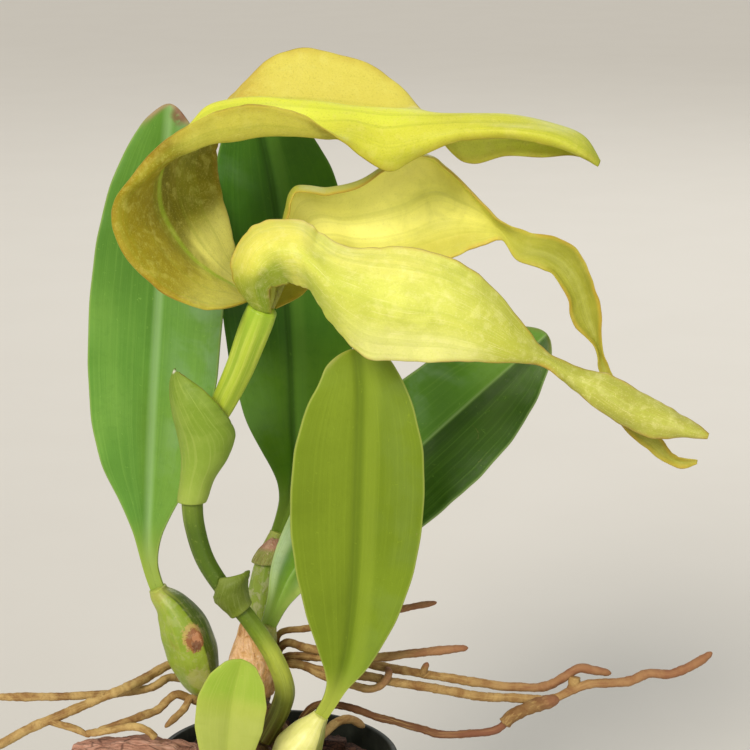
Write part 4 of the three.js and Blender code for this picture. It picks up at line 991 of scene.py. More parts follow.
def leafSkin(name, look):
    desk = NodeDesk(name, roughness=look["gloss"], glow=0.06, glowDepth=1.2, shine=0.22)
    across, along = desk.span("across"), desk.span("along")
    fromMiddle, fromMargin = desk.value("fromMiddle"), desk.value("fromMargin")
    rightHalf = desk.between(across, 0.48, 0.52)
    broad = desk.noise(30, 2, 0.5, 0.3, desk.stretched((1, 1, 0.4)))
    desk.bands(broad, look, deep=0.32, blade=0.5, bright=0.7)
    # the right half in its own colour; on the right leaf this is painted shade over its lower half
    desk.cover(rightHalf, look["right"], 0.65)
    for lengthwise, crosswise, code, strength in look["zones"]:
        desk.cover(desk.zone(lengthwise, crosswise, 0.07), code, strength)
    strands = desk.streaks(40, 1.4)
    desk.lay(strands, 0.5, 0.68, look["bright"], 0.24)
    desk.lay(desk.streaks(150, 5, detail=2), 0.54, 0.7, look["deep"], 0.22)
    desk.lay(desk.value("inside"), 1, 0, look["under"], 0.6)
    mottle = desk.between(desk.noise(2.2, 4, 0.6, 0.3), 0.45, 0.7)
    desk.cover(mottle, look["deep"], 0.16)
    # a whitish film over one side, partly the leaf's own and partly painted sheen
    cloud = desk.between(desk.noise(16, 4, 0.6, 0.4), 0.42, 0.64)
    bloomAndSheen = desk.both(desk.between(across, *look["bloomAndSheenSide"]), cloud)
    desk.cover(bloomAndSheen, leafForm["bloomAndSheenColour"], look["bloomAndSheen"])
    # along the midrib: its own colour mixed with painted shading of the groove; next to it on the right half,
    # more painted shading, darker on some leaves and lighter on others
    code, reach, strength = look["midribToneAndShade"]
    desk.lay(fromMiddle, reach, 0.2 * reach, code, strength)
    code, low, high, strength = look["midribSideShading"]
    desk.cover(desk.both(desk.window(fromMiddle, low, high, 0.3 * (high - low)), rightHalf), code, strength)
    desk.lay(fromMiddle, 0.3, 0.06, look["line"], 0.3)
    desk.lay(fromMargin, 0.6, 0.15, look["margin"], 0.55)
    desk.lay(along, 0.17, 0.03, look["stalk"], 0.8)
    tipEnd = desk.both(desk.between(fromMargin, 2.4, 0.3), desk.between(along, 0.94, 0.98))
    desk.cover(tipEnd, look["tip"], look["tipStrength"])
    for point, reach, code, strength in look.get("marks", []):
        blotchy = desk.between(desk.noise(1.6, 4, 0.65), 0.3, 0.55)
        desk.cover(desk.both(desk.near(point, reach), blotchy), code, strength)
    desk.lay(desk.noise(1.1, 3, 0.6, 0.6), 0.66, 0.72, look["bright"], 0.5)
    desk.lay(desk.noise(3.4, 4, 0.7, 1.0), 0.7, 0.74, leafForm["fleckColour"], 0.35)
    desk.bump(strands, 0.05)
    desk.bump(desk.noise(9, 2, 0.5), 0.4)
    desk.bump(desk.noise(0.6, 2, 0.6), 0.02)
    return desk.done(desk.between(mottle, 0, 1, look["gloss"], look["gloss"] + 0.1))


def makeLeaf(place, look):
    def thickness(downs):
        stalk = np.maximum(0, 1 - downs / leafForm["stalkEnd"])
        return leafForm["blade"] + (leafForm["stalk"] - leafForm["blade"]) * stalk

    def shape(net, downs, acrosses):
        # a raised midrib, wavy margins and halves that swell a little backwards
        width = np.linalg.norm(net[:, -1] - net[:, 0], axis=1)[:, None]
        wide = np.clip(width / leafForm["waveFrom"], 0, 1)
        rib = look["rib"] * np.exp(-((acrosses[None] - 0.5) * width / leafForm["ribWidth"]) ** 2)
        towardsTip = np.clip((1 - downs) / leafForm["ribEnd"], 0, 1)[:, None]
        rib = rib * np.clip(width / leafForm["ribFrom"], 0.3, 1) * towardsTip
        sway = marginSway(downs, acrosses, leafForm["pitches"], look["waveSeed"], 2.2) * look["wave"] * wide
        puff = leafForm["puff"] * np.sin(np.abs(2 * acrosses[None] - 1) * math.pi) * wide
        return net + netNormals(net) * (rib + sway - puff)[..., None]
    rows, places = leafRows(look, np.array(bulbs[place]["line"][-1], float))
    part = sheetPart(rows, leafForm["net"], thickness, leafForm["margin"], shape, 0.01, places)
    addPiece("leafBlade_" + place, [part], leafSkin("leaf " + place, look), "leaf_" + place)


for place, look in leaves.items():
    makeLeaf(place, look)
print("leaves grown")

# Flowering stem, its two bracts and the grooved ovary
flowerStem = {
    "line": [[-3.6, -6.4, 66], [-1, -6.2, 70.5], [1.4, -6.2, 75.5], [2.4, -7, 81.5],
             [-0.5, -8, 90.5], [-6, -9, 100], [-12.5, -9, 108.5], [-17.5, -9, 117],
             [-20, -8.5, 126], [-20.5, -8, 133], [-20.5, -8, 134.5]],
    "radii": [[0, 2.5], [0.15, 2.7], [0.35, 2.4], [0.6, 2.2], [0.9, 2.6], [1, 2.8]],
    "lengthways": [
        (0.0, "#5f4a22"), (0.1, "#5f5c1e"), (0.18, "#6d7426"), (0.27, "#aab444"),
        (0.36, "#adb946"), (0.46, "#728a26"), (0.58, "#4f6816"), (0.86, "#4a6414"), (1.0, "#748a2c"),
    ],
    "dark": "#4a5c16", "light": "#a9b656", "cut": (48, 0.5, 1.0, 0.6),
    "grooves": (0.018, 0.02), "joint": (0.56, 0.02), "jointSwell": 0.05,
}
ovary = {
    "line": [[-20.5, -8, 134], [-19, -8.6, 141.5], [-16, -9.4, 151], [-12, -10.8, 158.5],
             [-7.5, -15, 168.5], [-4.2, -18.6, 177.5], [-1.6, -19.6, 184.2], [-1.1, -19.7, 185.4]],
    "radii": [[0, 2.2], [0.3, 2.8], [0.55, 3.4], [0.85, 4], [0.95, 4.1], [1, 3.6]],
    "cut": (72, 0.5, 0.8, 1.8), "grooveCount": 6, "grooveDepth": 0.03,
    "flesh": "#b0c43c", "groove": "#97b230", "light": "#d0da66", "foot": "#c9cf7c", "top": "#8fb02a",
}
stemBract = {
    "rows": [
        [-8.3, -9, 103.2, 3, 3, 270, 165, 37],
        [-9.1, -9, 104.6, 3.25, 3.25, 270, 152, 37],
        [-10, -9, 106.3, 3.9, 3.9, 276, 130, 35],
        [-10.9, -9, 108.6, 4.8, 4.7, 283, 100, 32],
        [-11, -9, 111, 5.3, 5, 290, 76, 28],
        [-10.6, -9, 113.3, 4.6, 3.5, 284, 52, 12],
    ],
    "thickness": 0.8, "lengthways": [(0.0, "#6d7c24"), (0.3, "#5f7019"), (0.8, "#5c6d18"), (1.0, "#6f7f2c")],
    "inner": "#55661a", "pale": "#84914a", "edge": "#8a9446", "edgeStrength": 0.4, "wear": 0.25,
    "net": (56, 64), "marks": [([-15.4, -9, 108.3], 3.2, "#cdd0a0", 0.85)],
}
floralBract = {
    "rows": [
        [-20.5, -8, 132, 3.5, 3.5, 240, 165],
        [-19, -8.4, 138, 4, 4, 240, 155],
        [-17, -9.2, 144, 5.6, 5, 238, 145],
        [-16.4, -9.8, 150, 7, 6.2, 234, 130],
        [-17.2, -10.3, 155, 7.2, 6.9, 228, 108],
        [-17.8, -10.4, 159.5, 7.2, 7, 220, 90],
        [-18.6, -10.2, 163.5, 6.4, 6, 210, 74],
        [-20.6, -10, 166.8, 3.4, 4, 200, 34],
    ],
    "thickness": 0.8,
    "lengthways": [(0.0, "#94a944"), (0.25, "#87a238"), (0.55, "#7b972c"), (1.0, "#6f8a28")],
    "inner": "#86983c", "pale": "#a3b556", "edge": "#74502c", "edgeStrength": 0.6, "wear": 0.15,
    "net": (84, 84), "marks": [([-23.8, -11.4, 166.8], 1.3, "#ebe9d6", 0.9)],
}
bractForm = {"margin": 0.3, "lift": 0.25, "waves": 10, "waveSeed": 2.2}


def wrapRows(rows, points=13):
    # each row: its centre, two radii, middle and half of the wrap in degrees, and how far it tilts
    made = []
    for x, y, z, across, deep, middle, half, *tilt in rows:
        rise = math.radians(tilt[0] if tilt else 0)
        angles = np.radians(middle + half * np.linspace(-1, 1, points))
        reach = across * np.cos(angles)
        row = [x + reach * math.cos(rise), y + deep * np.sin(angles), z + reach * math.sin(rise)]
        made.append(np.stack(row, axis=1))
    return made


def stemSkin(look):
    desk = NodeDesk("stem skin", roughness=0.44, glow=0.08, shine=0.26)
    desk.colour = desk.ramp(desk.span("along"), look["lengthways"])
    desk.lay(desk.noise(5, 3, 0.6, 0.3), 0.4, 0.7, look["dark"], 0.3)
    strands = desk.streaks(16, 2, True)
    desk.lay(strands, 0.5, 0.68, look["light"], 0.3)
    desk.lay(desk.streaks(60, 12, True, 2), 0.54, 0.68, look["dark"], 0.3)
    desk.lay(desk.noise(0.9, 3, 0.6), 0.6, 0.7, look["light"], 0.15)
    desk.bump(strands, 0.15)
    desk.bump(desk.noise(1.2, 3, 0.55), 0.08)
    return desk.done()


def makeStem(look):
    def radiusAt(parts, angles):
        fine, broad = look["grooves"]
        grooves = 1 + fine * np.cos(7 * angles + 2 * parts) + broad * np.cos(3 * angles)
        joint = 1 + look["jointSwell"] * hump(parts, *look["joint"])
        return readOff(look["radii"], parts, 0.04) * grooves * joint
    part = roundPart(look["line"], radiusAt, *look["cut"])
    addPiece("floweringStem", [part], stemSkin(look), "flower_stem")


def ovarySkin(look):
    desk = NodeDesk("ovary skin", roughness=0.4, coat=0.06, glow=0.12, shine=0.28)
    along = desk.span("along")
    turn = desk.both(desk.span("across"), 2 * math.pi * look["grooveCount"])
    groove = desk.math("MULTIPLY_ADD", desk.math("COSINE", turn), 0.5, 0.5)
    desk.colour = desk.mix(desk.between(groove, 0, 0.7), look["groove"], look["flesh"])
    strands = desk.streaks(30, 1.5, True)
    desk.lay(strands, 0.46, 0.64, look["light"], 0.4)
    desk.lay(along, 0.8, 1, look["top"], 0.7)
    desk.lay(along, 0.5, 0.3, look["foot"], 0.4)
    desk.lay(desk.streaks(100, 10, True, 2), 0.54, 0.68, look["groove"], 0.4)
    desk.lay(desk.cells(0.8), 0.3, 0, look["light"], 0.15)
    desk.bump(strands, 0.1)
    desk.bump(desk.noise(1.5, 3, 0.5), 0.12)
    return desk.done()


def makeOvary(look):
    def radiusAt(parts, angles):
        grooves = 1 + look["grooveDepth"] * np.cos(look["grooveCount"] * angles)
        return readOff(look["radii"], parts, 0.05) * grooves
    part = roundPart(look["line"], radiusAt, *look["cut"])
    addPiece("groovedOvary", [part], ovarySkin(look), "ovary")


def bractSkin(name, look):
    desk = NodeDesk(name, roughness=0.5, glow=0.08, shine=0.26)
    desk.colour = desk.ramp(desk.span("along"), look["lengthways"])
    desk.lay(desk.noise(5, 3, 0.55, 0.4), 0.4, 0.66, look["pale"], 0.22)
    strands = desk.streaks(34, 2)
    desk.lay(strands, 0.5, 0.66, look["pale"], 0.35)
    desk.lay(desk.value("inside"), 1, 0, look["inner"], 0.8)
    grain = desk.noise(0.45, 3, 0.6)
    desk.lay(grain, 0.54, 0.68, look["pale"], look["wear"])
    desk.lay(desk.value("fromMargin"), 0.4, 0.05, look["edge"], look["edgeStrength"])
    for point, reach, code, strength in look.get("marks", []):
        desk.cover(desk.near(point, reach), code, strength)
    desk.bump(strands, 0.1)
    desk.bump(grain, 0.05)
    return desk.done()


def makeBract(name, look, node):
    def shape(net, downs, acrosses):
        # the margins wave a little, more towards the tip
        free = np.clip(downs * 3 - 1, 0, 1)[:, None]
        wave = ripple(downs * bractForm["waves"], bractForm["waveSeed"])[:, None]
        lift = wave * np.abs(2 * acrosses[None] - 1) ** 3 * bractForm["lift"] * free
        return net + netNormals(net) * lift[..., None]
    part = sheetPart(wrapRows(look["rows"]), look["net"], look["thickness"], bractForm["margin"], shape)
    addPiece(name, [part], bractSkin(name + " skin", look), node)


makeStem(flowerStem)
makeOvary(ovary)
makeBract("stemBract", stemBract, "stem_bract")
makeBract("floralBract", floralBract, "floral_bract")
print("stem, bracts and ovary grown")

# Dry papery sheaths on two of the bulbs
bulbSheath = {
    "rows": [
        [-6.6, 5, 75.5, 5.6, 5.6, 240, 120],
        [-6.4, 5, 80, 6.5, 6.4, 240, 125],
        [-5.6, 5, 84.5, 6.7, 6.5, 240, 115],
        [-4.8, 5, 88.5, 6.3, 6.2, 235, 95],
        [-4.4, 5, 92.5, 5.4, 5.6, 230, 60],
        [-4.6, 4.6, 96.5, 4.4, 4.6, 220, 25],
    ],
    "thickness": 0.7, "tan": "#c99c62", "pink": "#e3bb90", "brown": "#8f5c34", "tear": 2.4, "seed": 3.0,
    "lower": "#b98a54", "lowerTo": 0.2, "net": (70, 90),
}
neckSheath = {
    "rows": [
        [-2.8, 18.3, 107.4, 4.2, 4.2, 250, 62],
        [-2.2, 18.7, 109.2, 4.05, 4.05, 253, 60],
        [-1.5, 19.1, 111.2, 3.8, 3.8, 258, 50],
        [-0.8, 19.5, 113, 3.6, 3.6, 262, 34],
        [-0.3, 19.8, 114.4, 3.4, 3.4, 266, 14],
    ],
    "thickness": 0.7, "tan": "#b98a70", "pink": "#cba088", "brown": "#94604a", "tear": 0.8, "seed": 8.0,
    "lower": "#93a64c", "lowerTo": 0.6, "net": (40, 40),
}
sheathForm = {
    "margin": 0.3, "crease": 0.16, "creaseGrain": (1, 1, 0.35), "creaseSize": 1.5, "jags": 30, "jagSize": 1.6,
    # the colour of small painted glints on the fibres, and of pale dust
    "paintedGlintColour": "#ecd3b0", "dustColour": "#e8d0ae",
}


def paperSkin(name, look):
    desk = NodeDesk(name, roughness=0.8, glow=0.15, shine=0.25)
    layers = desk.noise(3.4, 5, 0.65, 0.9)
    desk.bands(layers, look, brown=0.3, tan=0.44, pink=0.6)
    desk.lay(desk.span("along"), look["lowerTo"], look["lowerTo"] - 0.2, look["lower"], 0.8)
    fibres = desk.streaks(40, 2.5)
    desk.lay(fibres, 0.54, 0.66, look["brown"], 0.45)
    # pale painted glints on the fibres
    desk.lay(fibres, 0.44, 0.3, sheathForm["paintedGlintColour"], 0.4)
    desk.lay(desk.noise(1, 4, 0.7), 0.58, 0.68, sheathForm["dustColour"], 0.5)
    desk.lay(desk.value("fromMargin"), 0.4, 0, look["brown"], 0.55)
    desk.bump(fibres, 0.25)
    desk.bump(layers, 0.8)
    return desk.done()


def makeSheath(name, look, node):
    def shape(net, downs, acrosses):
        # creased all over, and torn into jags at its upper end
        squeezed = net * np.array(sheathForm["creaseGrain"])
        crease = grainAt(squeezed, sheathForm["creaseSize"], look["seed"]) * sheathForm["crease"]
        row = np.stack([acrosses * sheathForm["jags"], acrosses * 0, acrosses * 0], axis=1)
        jag = grainAt(row, sheathForm["jagSize"], look["seed"])
        drawn = np.clip(downs * 2.5 - 1.5, 0, 1)[:, None] * (jag - 0.5)[None] * look["tear"]
        return net + netNormals(net) * crease[..., None] + unit(np.gradient(net, axis=0)) * drawn[..., None]
    part = sheetPart(wrapRows(look["rows"]), look["net"], look["thickness"], sheathForm["margin"], shape)
    addPiece(name, [part], paperSkin(name + " paper", look), node)


makeSheath("bulbSheath", bulbSheath, "sheath_right_bulb")
makeSheath("neckSheath", neckSheath, "sheath_back_bulb")
print("dry sheaths laid on")

# Flower: each row runs across a sepal from the margin nearer the front to the one further back
dorsalSepal = {
    "rows": [
        [[-4.8, -20.5, 186.3], [-4.9, -19.7, 186.4], [-4.9, -18.9, 186.4],
         [-4.6, -18.2, 186.4], [-4.3, -17.6, 186.3], [-3.8, -17.1, 186.2]],
        [[-10, -29, 186.5], [-9.5, -25, 187], [-9.5, -20, 188.5],
         [-9, -16, 189.5], [-8.5, -11, 191], [-7.5, -7, 192.5]],
        [[-16.5, -33, 187.5], [-16, -28, 189], [-15, -22, 190.5],
         [-13.5, -16, 192.5], [-11.5, -10, 195], [-9, -5, 197.5]],
        [[-24.5, -34, 191.5], [-23, -30, 193], [-20.5, -23, 195],
         [-18.5, -15, 196.5], [-14.5, -8, 200], [-10.5, -3, 203.5]],
        [[-32, -34, 198.5], [-29, -31, 199.5], [-26, -24, 201.5],
         [-22.5, -15, 202], [-17.5, -7, 205], [-12, -2, 209]],
        [[-36, -33, 206.5], [-33, -31, 207], [-29, -24, 207.5],
         [-25.5, -15, 208.5], [-19, -6, 210.5], [-13, 0, 213.5]],
        [[-35.5, -32, 213], [-32.5, -30, 213.5], [-29, -24, 214.5],
         [-26, -15, 214.5], [-20, -5, 215.5], [-13.5, 2, 217.5]],
        [[-30.5, -31, 220], [-27.5, -30, 219], [-26, -24, 218.5],
         [-25, -15, 219], [-19.5, -4, 219], [-13.5, 3, 220]],
        [[-25.5, -30, 225.5], [-22.5, -28, 222.5], [-21.5, -21, 222.5],
         [-22.5, -14, 224], [-18, -4, 223], [-13, 4, 223]],
        [[-20.5, -29, 229], [-18, -26, 224], [-18, -19, 225.5],
         [-18.5, -13, 228.5], [-15, -4, 226.5], [-12, 4, 227]],
        [[-15, -28, 232], [-13.5, -24, 225.5], [-13.5, -17, 228],
         [-14.5, -12, 232.5], [-12, -5, 229.3], [-10, 4, 232.5]],
        [[-8, -27, 234.5], [-7.5, -22, 226], [-7.5, -15, 229.5],
         [-8.5, -11, 234], [-7, -5, 231.5], [-5, 4, 238]],
        [[-1, -27, 235], [-0.5, -21, 227], [-1, -14, 230], [-2, -11, 234.5], [-0.5, -5, 232], [1, 4, 243]],
        [[6.5, -27, 233.5], [7, -21, 227], [6.5, -15, 230], [6, -12, 234], [7, -6, 231.8], [8.5, 3, 245]],
        [[12.5, -27, 230.5], [14, -22, 226.5], [13.5, -17, 229.5],
         [13, -12, 233.5], [15, -6.5, 231.6], [17, 2, 243.5]],
        [[20, -25, 224.5], [20, -22, 226.5], [20, -17, 229.5],
         [20, -12, 232.5], [22, -6.5, 231], [25, 1, 241]],
        [[28.5, -19, 218], [28, -21, 223.5], [27.5, -18, 228],
         [28, -13, 232], [29.5, -7, 230.6], [32, -1, 236]],
        [[35, -18, 220.5], [35, -20, 224.5], [34.5, -18, 228.5],
         [34.5, -13, 231.5], [36.5, -7, 231], [38, -4, 229.5]],
        [[42, -19, 224], [41.5, -20, 226.5], [41.5, -18, 229],
         [41.5, -14, 231], [42, -8, 228], [43.5, -6, 221.5]],
        [[49.5, -21, 226], [49.5, -22, 228], [49.5, -20, 229.5],
         [49.5, -15, 231], [49.5, -9, 225], [49.5, -8, 218]],
        [[58.5, -24, 226.5], [58, -25, 228.5], [58, -22, 229.5],
         [58.5, -17, 231], [58, -12, 225.5], [57.5, -12, 220.5]],
        [[66.5, -27, 225.5], [67, -28, 227.5], [67, -25, 229],
         [67.5, -20, 229.5], [67, -16, 225.5], [65.5, -17, 221]],
        [[74, -28, 223], [74, -29, 224.5], [74.5, -27, 226],
         [75, -23, 227], [74.5, -20, 224], [73.5, -21, 222]],
        [[78.6, -26.2, 220.2], [78.8, -26.2, 220.7], [79, -25.8, 221.2],
         [79.1, -25.2, 221.4], [79, -24.7, 221], [78.8, -24.3, 220.5]],
    ],
    "net": (260, 84), "wave": 0.25, "waveSeed": 1.3,
    "inside": [
        (0.0, "#b4b446"), (0.1, "#bdb944"), (0.18, "#989022"), (0.24, "#877e14"), (0.36, "#8f861c"),
        (0.5, "#a69b38"), (0.62, "#b9b24c"), (0.72, "#b3b544"), (0.86, "#b9c048"), (1.0, "#adb840"),
    ],
    "outside": [(0.0, "#b2b644"), (0.3, "#c3c048"), (0.7, "#cfd04a"), (0.86, "#c9cc42"), (1.0, "#aeb63c")],
    "zones": [
        # side, along, across, colour, strength
        ("outside", (0.28, 0.76), (-0.2, 0.64), "#dae24c", 0.85),  # bright band under the crest
        ("outside", (0.4, 0.76), (0.74, 1.2), "#d2c75a", 0.85),  # dome behind the crest
        ("outside", (0.38, 0.5), (0.78, 1.2), "#c29f3c", 0.5),  # its warmer left end
        ("outside", (0.6, 0.78), (-0.2, 0.42), "#c9c93e", 0.8),  # fold that hangs down in front
        ("outside", (0.2, 0.36), (-0.2, 0.7), "#b0ae38", 0.5),  # where that band starts
        ("inside", (-0.1, 0.1), (-0.2, 0.6), "#cfcb50", 0.6),  # lower edge of the hood
        ("inside", (0.0, 0.16), (0.6, 1.2), "#efec80", 0.75),  # pale foot of the hood
        ("inside", (0.1, 0.34), (-0.2, 0.52), "#a5951c", 0.55),  # ochre band along its front margin
        ("inside", (0.17, 0.34), (0.62, 1.2), "#7c7a12", 0.35),  # olive hollow behind it
        ("inside", (0.38, 0.6), (-0.2, 1.2), "#dcd85a", 0.7),  # arm that the crest stands on
        ("inside", (0.78, 1.2), (-0.2, 1.2), "#d6dc54", 0.8),  # underside of the long tip
    ],
    "blotch": "#655f0a", "blotchInside": 0.55, "blotchOutside": 0.06, "pale": "#d9d46c", "paleStrength": 0.75,
    "vein": "#93a02c",
    "lines": [
        # side, along, place across, half width across, colour, strength
        ("inside", (0.02, 0.33), 0.57, 0.035, "#9cb52c", 0.85),
        # the dark line next to the green midrib arc is painted shade in the hollow of the hood
        ("inside", (0.1, 0.33), 0.62, 0.05, "#5f5c0c", 0.4),
    ],
    "fibre": 0.1, "midrib": 0.1, "warm": "#a8801c", "warmWidth": 3.0, "warmStrength": 0.3,
    "rim": "#7c5414", "rimWidth": 0.34, "rimStrength": 0.5,
}
nearSepal = {
    "rows": [
        [[-4, -21.9, 185.4], [-3.2, -22.6, 185], [-2, -22.9, 184.6],
         [-0.5, -22.7, 184.1], [0.7, -21.9, 183.8]],
        [[-8, -24, 191.5], [-6, -28, 192], [-3.5, -30, 192.5], [-1.5, -29, 191.5], [0.5, -27, 190.5]],
        [[-8.5, -24, 197.5], [-5.5, -30, 197.5], [-2.5, -33, 196.5], [0, -31, 194.5], [2, -28, 191.5]],
        [[-5.5, -24, 203.5], [-3, -31, 202.5], [0, -34, 200], [2.5, -33, 196.5], [4.5, -29, 192.5]],
        [[0.5, -24, 207], [2, -31, 205], [3.5, -36, 202], [5.5, -35, 197.5], [7, -30, 192.5]],
        [[8, -25, 207], [8, -32, 205], [8, -37, 201.5], [9, -36, 197], [10, -31, 191.5]],
        [[13, -27, 204.5], [12, -33, 202], [11.5, -38, 199], [12, -37, 194], [13, -32, 187.5]],
        [[18.5, -29, 201.5], [17, -35, 199], [16, -39, 195], [16.5, -38, 189], [17.5, -33, 181]],
        [[26.5, -30, 201.5], [24.5, -36, 197.5], [23.5, -40, 192], [23.5, -38, 183.5], [24, -34, 175.5]],
        [[35.5, -31, 201.5], [33.5, -37, 196.5], [32.5, -40, 189.5], [32, -38, 182], [31.5, -35, 175]],
        [[45, -31, 198.5], [42.5, -37, 194], [42, -39, 188], [41.5, -38, 181.5], [41, -36, 175]],
        [[54, -31, 192], [52.5, -36, 188.5], [51, -38, 184], [50.5, -38, 179.5], [50, -36, 175]],
        [[61.5, -31, 182.5], [60.5, -34, 180.5], [59, -36, 179], [58.5, -36, 176.5], [58, -35, 174.5]],
        [[67.5, -31, 176], [67, -32, 175.5], [66.5, -33, 175], [66.5, -33, 174], [66, -33, 173]],
        [[74.5, -31, 172.5], [74, -33, 171.5], [73.5, -34, 170.5], [73, -34, 169.5], [72.5, -33, 168]],
        [[81.5, -32, 171], [80.5, -35, 169.5], [79.5, -36, 168], [78.5, -36, 166], [78, -35, 164]],
        [[89, -34, 167.5], [87.5, -37, 166], [86.5, -39, 164], [85.5, -39, 162], [85, -37, 159.5]],
        [[95.5, -36, 164], [94.5, -39, 163], [93.5, -40, 161.5], [93, -40, 159.5], [92.5, -39, 157]],
        [[101.5, -38, 161], [100.5, -40, 160.5], [100, -41, 159.5], [99.5, -41, 158.5], [99.5, -40, 157.5]],
        [[105.2, -40, 158.4], [105, -40.4, 158.1], [104.9, -40.5, 157.8],
         [104.8, -40.5, 157.5], [104.7, -40.3, 157.2]],
    ],
    "net": (220, 72), "wave": 0.35, "waveSeed": 3.1,
    "inside": [
        (0.0, "#93a22c"), (0.1, "#ccce50"), (0.22, "#e2e266"), (0.36, "#e0e56a"),
        (0.5, "#dbe06c"), (0.62, "#bcc04a"), (0.8, "#a8aa46"), (1.0, "#a7a44c"),
    ],
    "outside": [(0.0, "#8f9a2c"), (0.15, "#b9b840"), (0.5, "#cdca50"), (1.0, "#b7b54a")],
    "zones": [
        ("inside", (-0.1, 0.07), (-0.2, 0.75), "#8ea22c", 0.65),  # foot of the bend
        ("inside", (-0.1, 0.2), (0.6, 1.2), "#7c991e", 0.7),  # green throat of the bend
        ("inside", (0.04, 0.3), (-0.2, 0.05), "#b07a2c", 0.8),  # warm edge of the upper lobe
        ("inside", (0.28, 0.44), (0.35, 0.75), "#c3ca50", 0.55),  # duller fold under it
        ("inside", (0.4, 0.58), (0.72, 1.2), "#f4f4a2", 0.55),  # pale lower margin
        ("inside", (0.66, 0.75), (-0.2, 1.2), "#9ea242", 0.6),  # neck before the tail
        ("inside", (0.26, 0.36), (0.7, 1.2), "#a9ba3e", 0.6),  # where it opens out
        ("inside", (0.1, 0.3), (-0.2, 0.4), "#ece66e", 0.6),  # bright lobe at the top
        ("inside", (0.34, 0.5), (-0.2, 0.3), "#e8e37c", 0.5),  # pale upper margin
    ],
    "blotch": "#b3b944", "blotchInside": 0.35, "blotchOutside": 0.3, "pale": "#f1eea6", "paleStrength": 0.6,
    "vein": "#b3bf44",
    "fibre": 0.45, "midrib": 0.15, "warm": "#c79a34", "warmWidth": 1.6, "warmStrength": 0.35,
    "rim": "#8a5c1e", "rimWidth": 0.55, "rimStrength": 0.7,
}
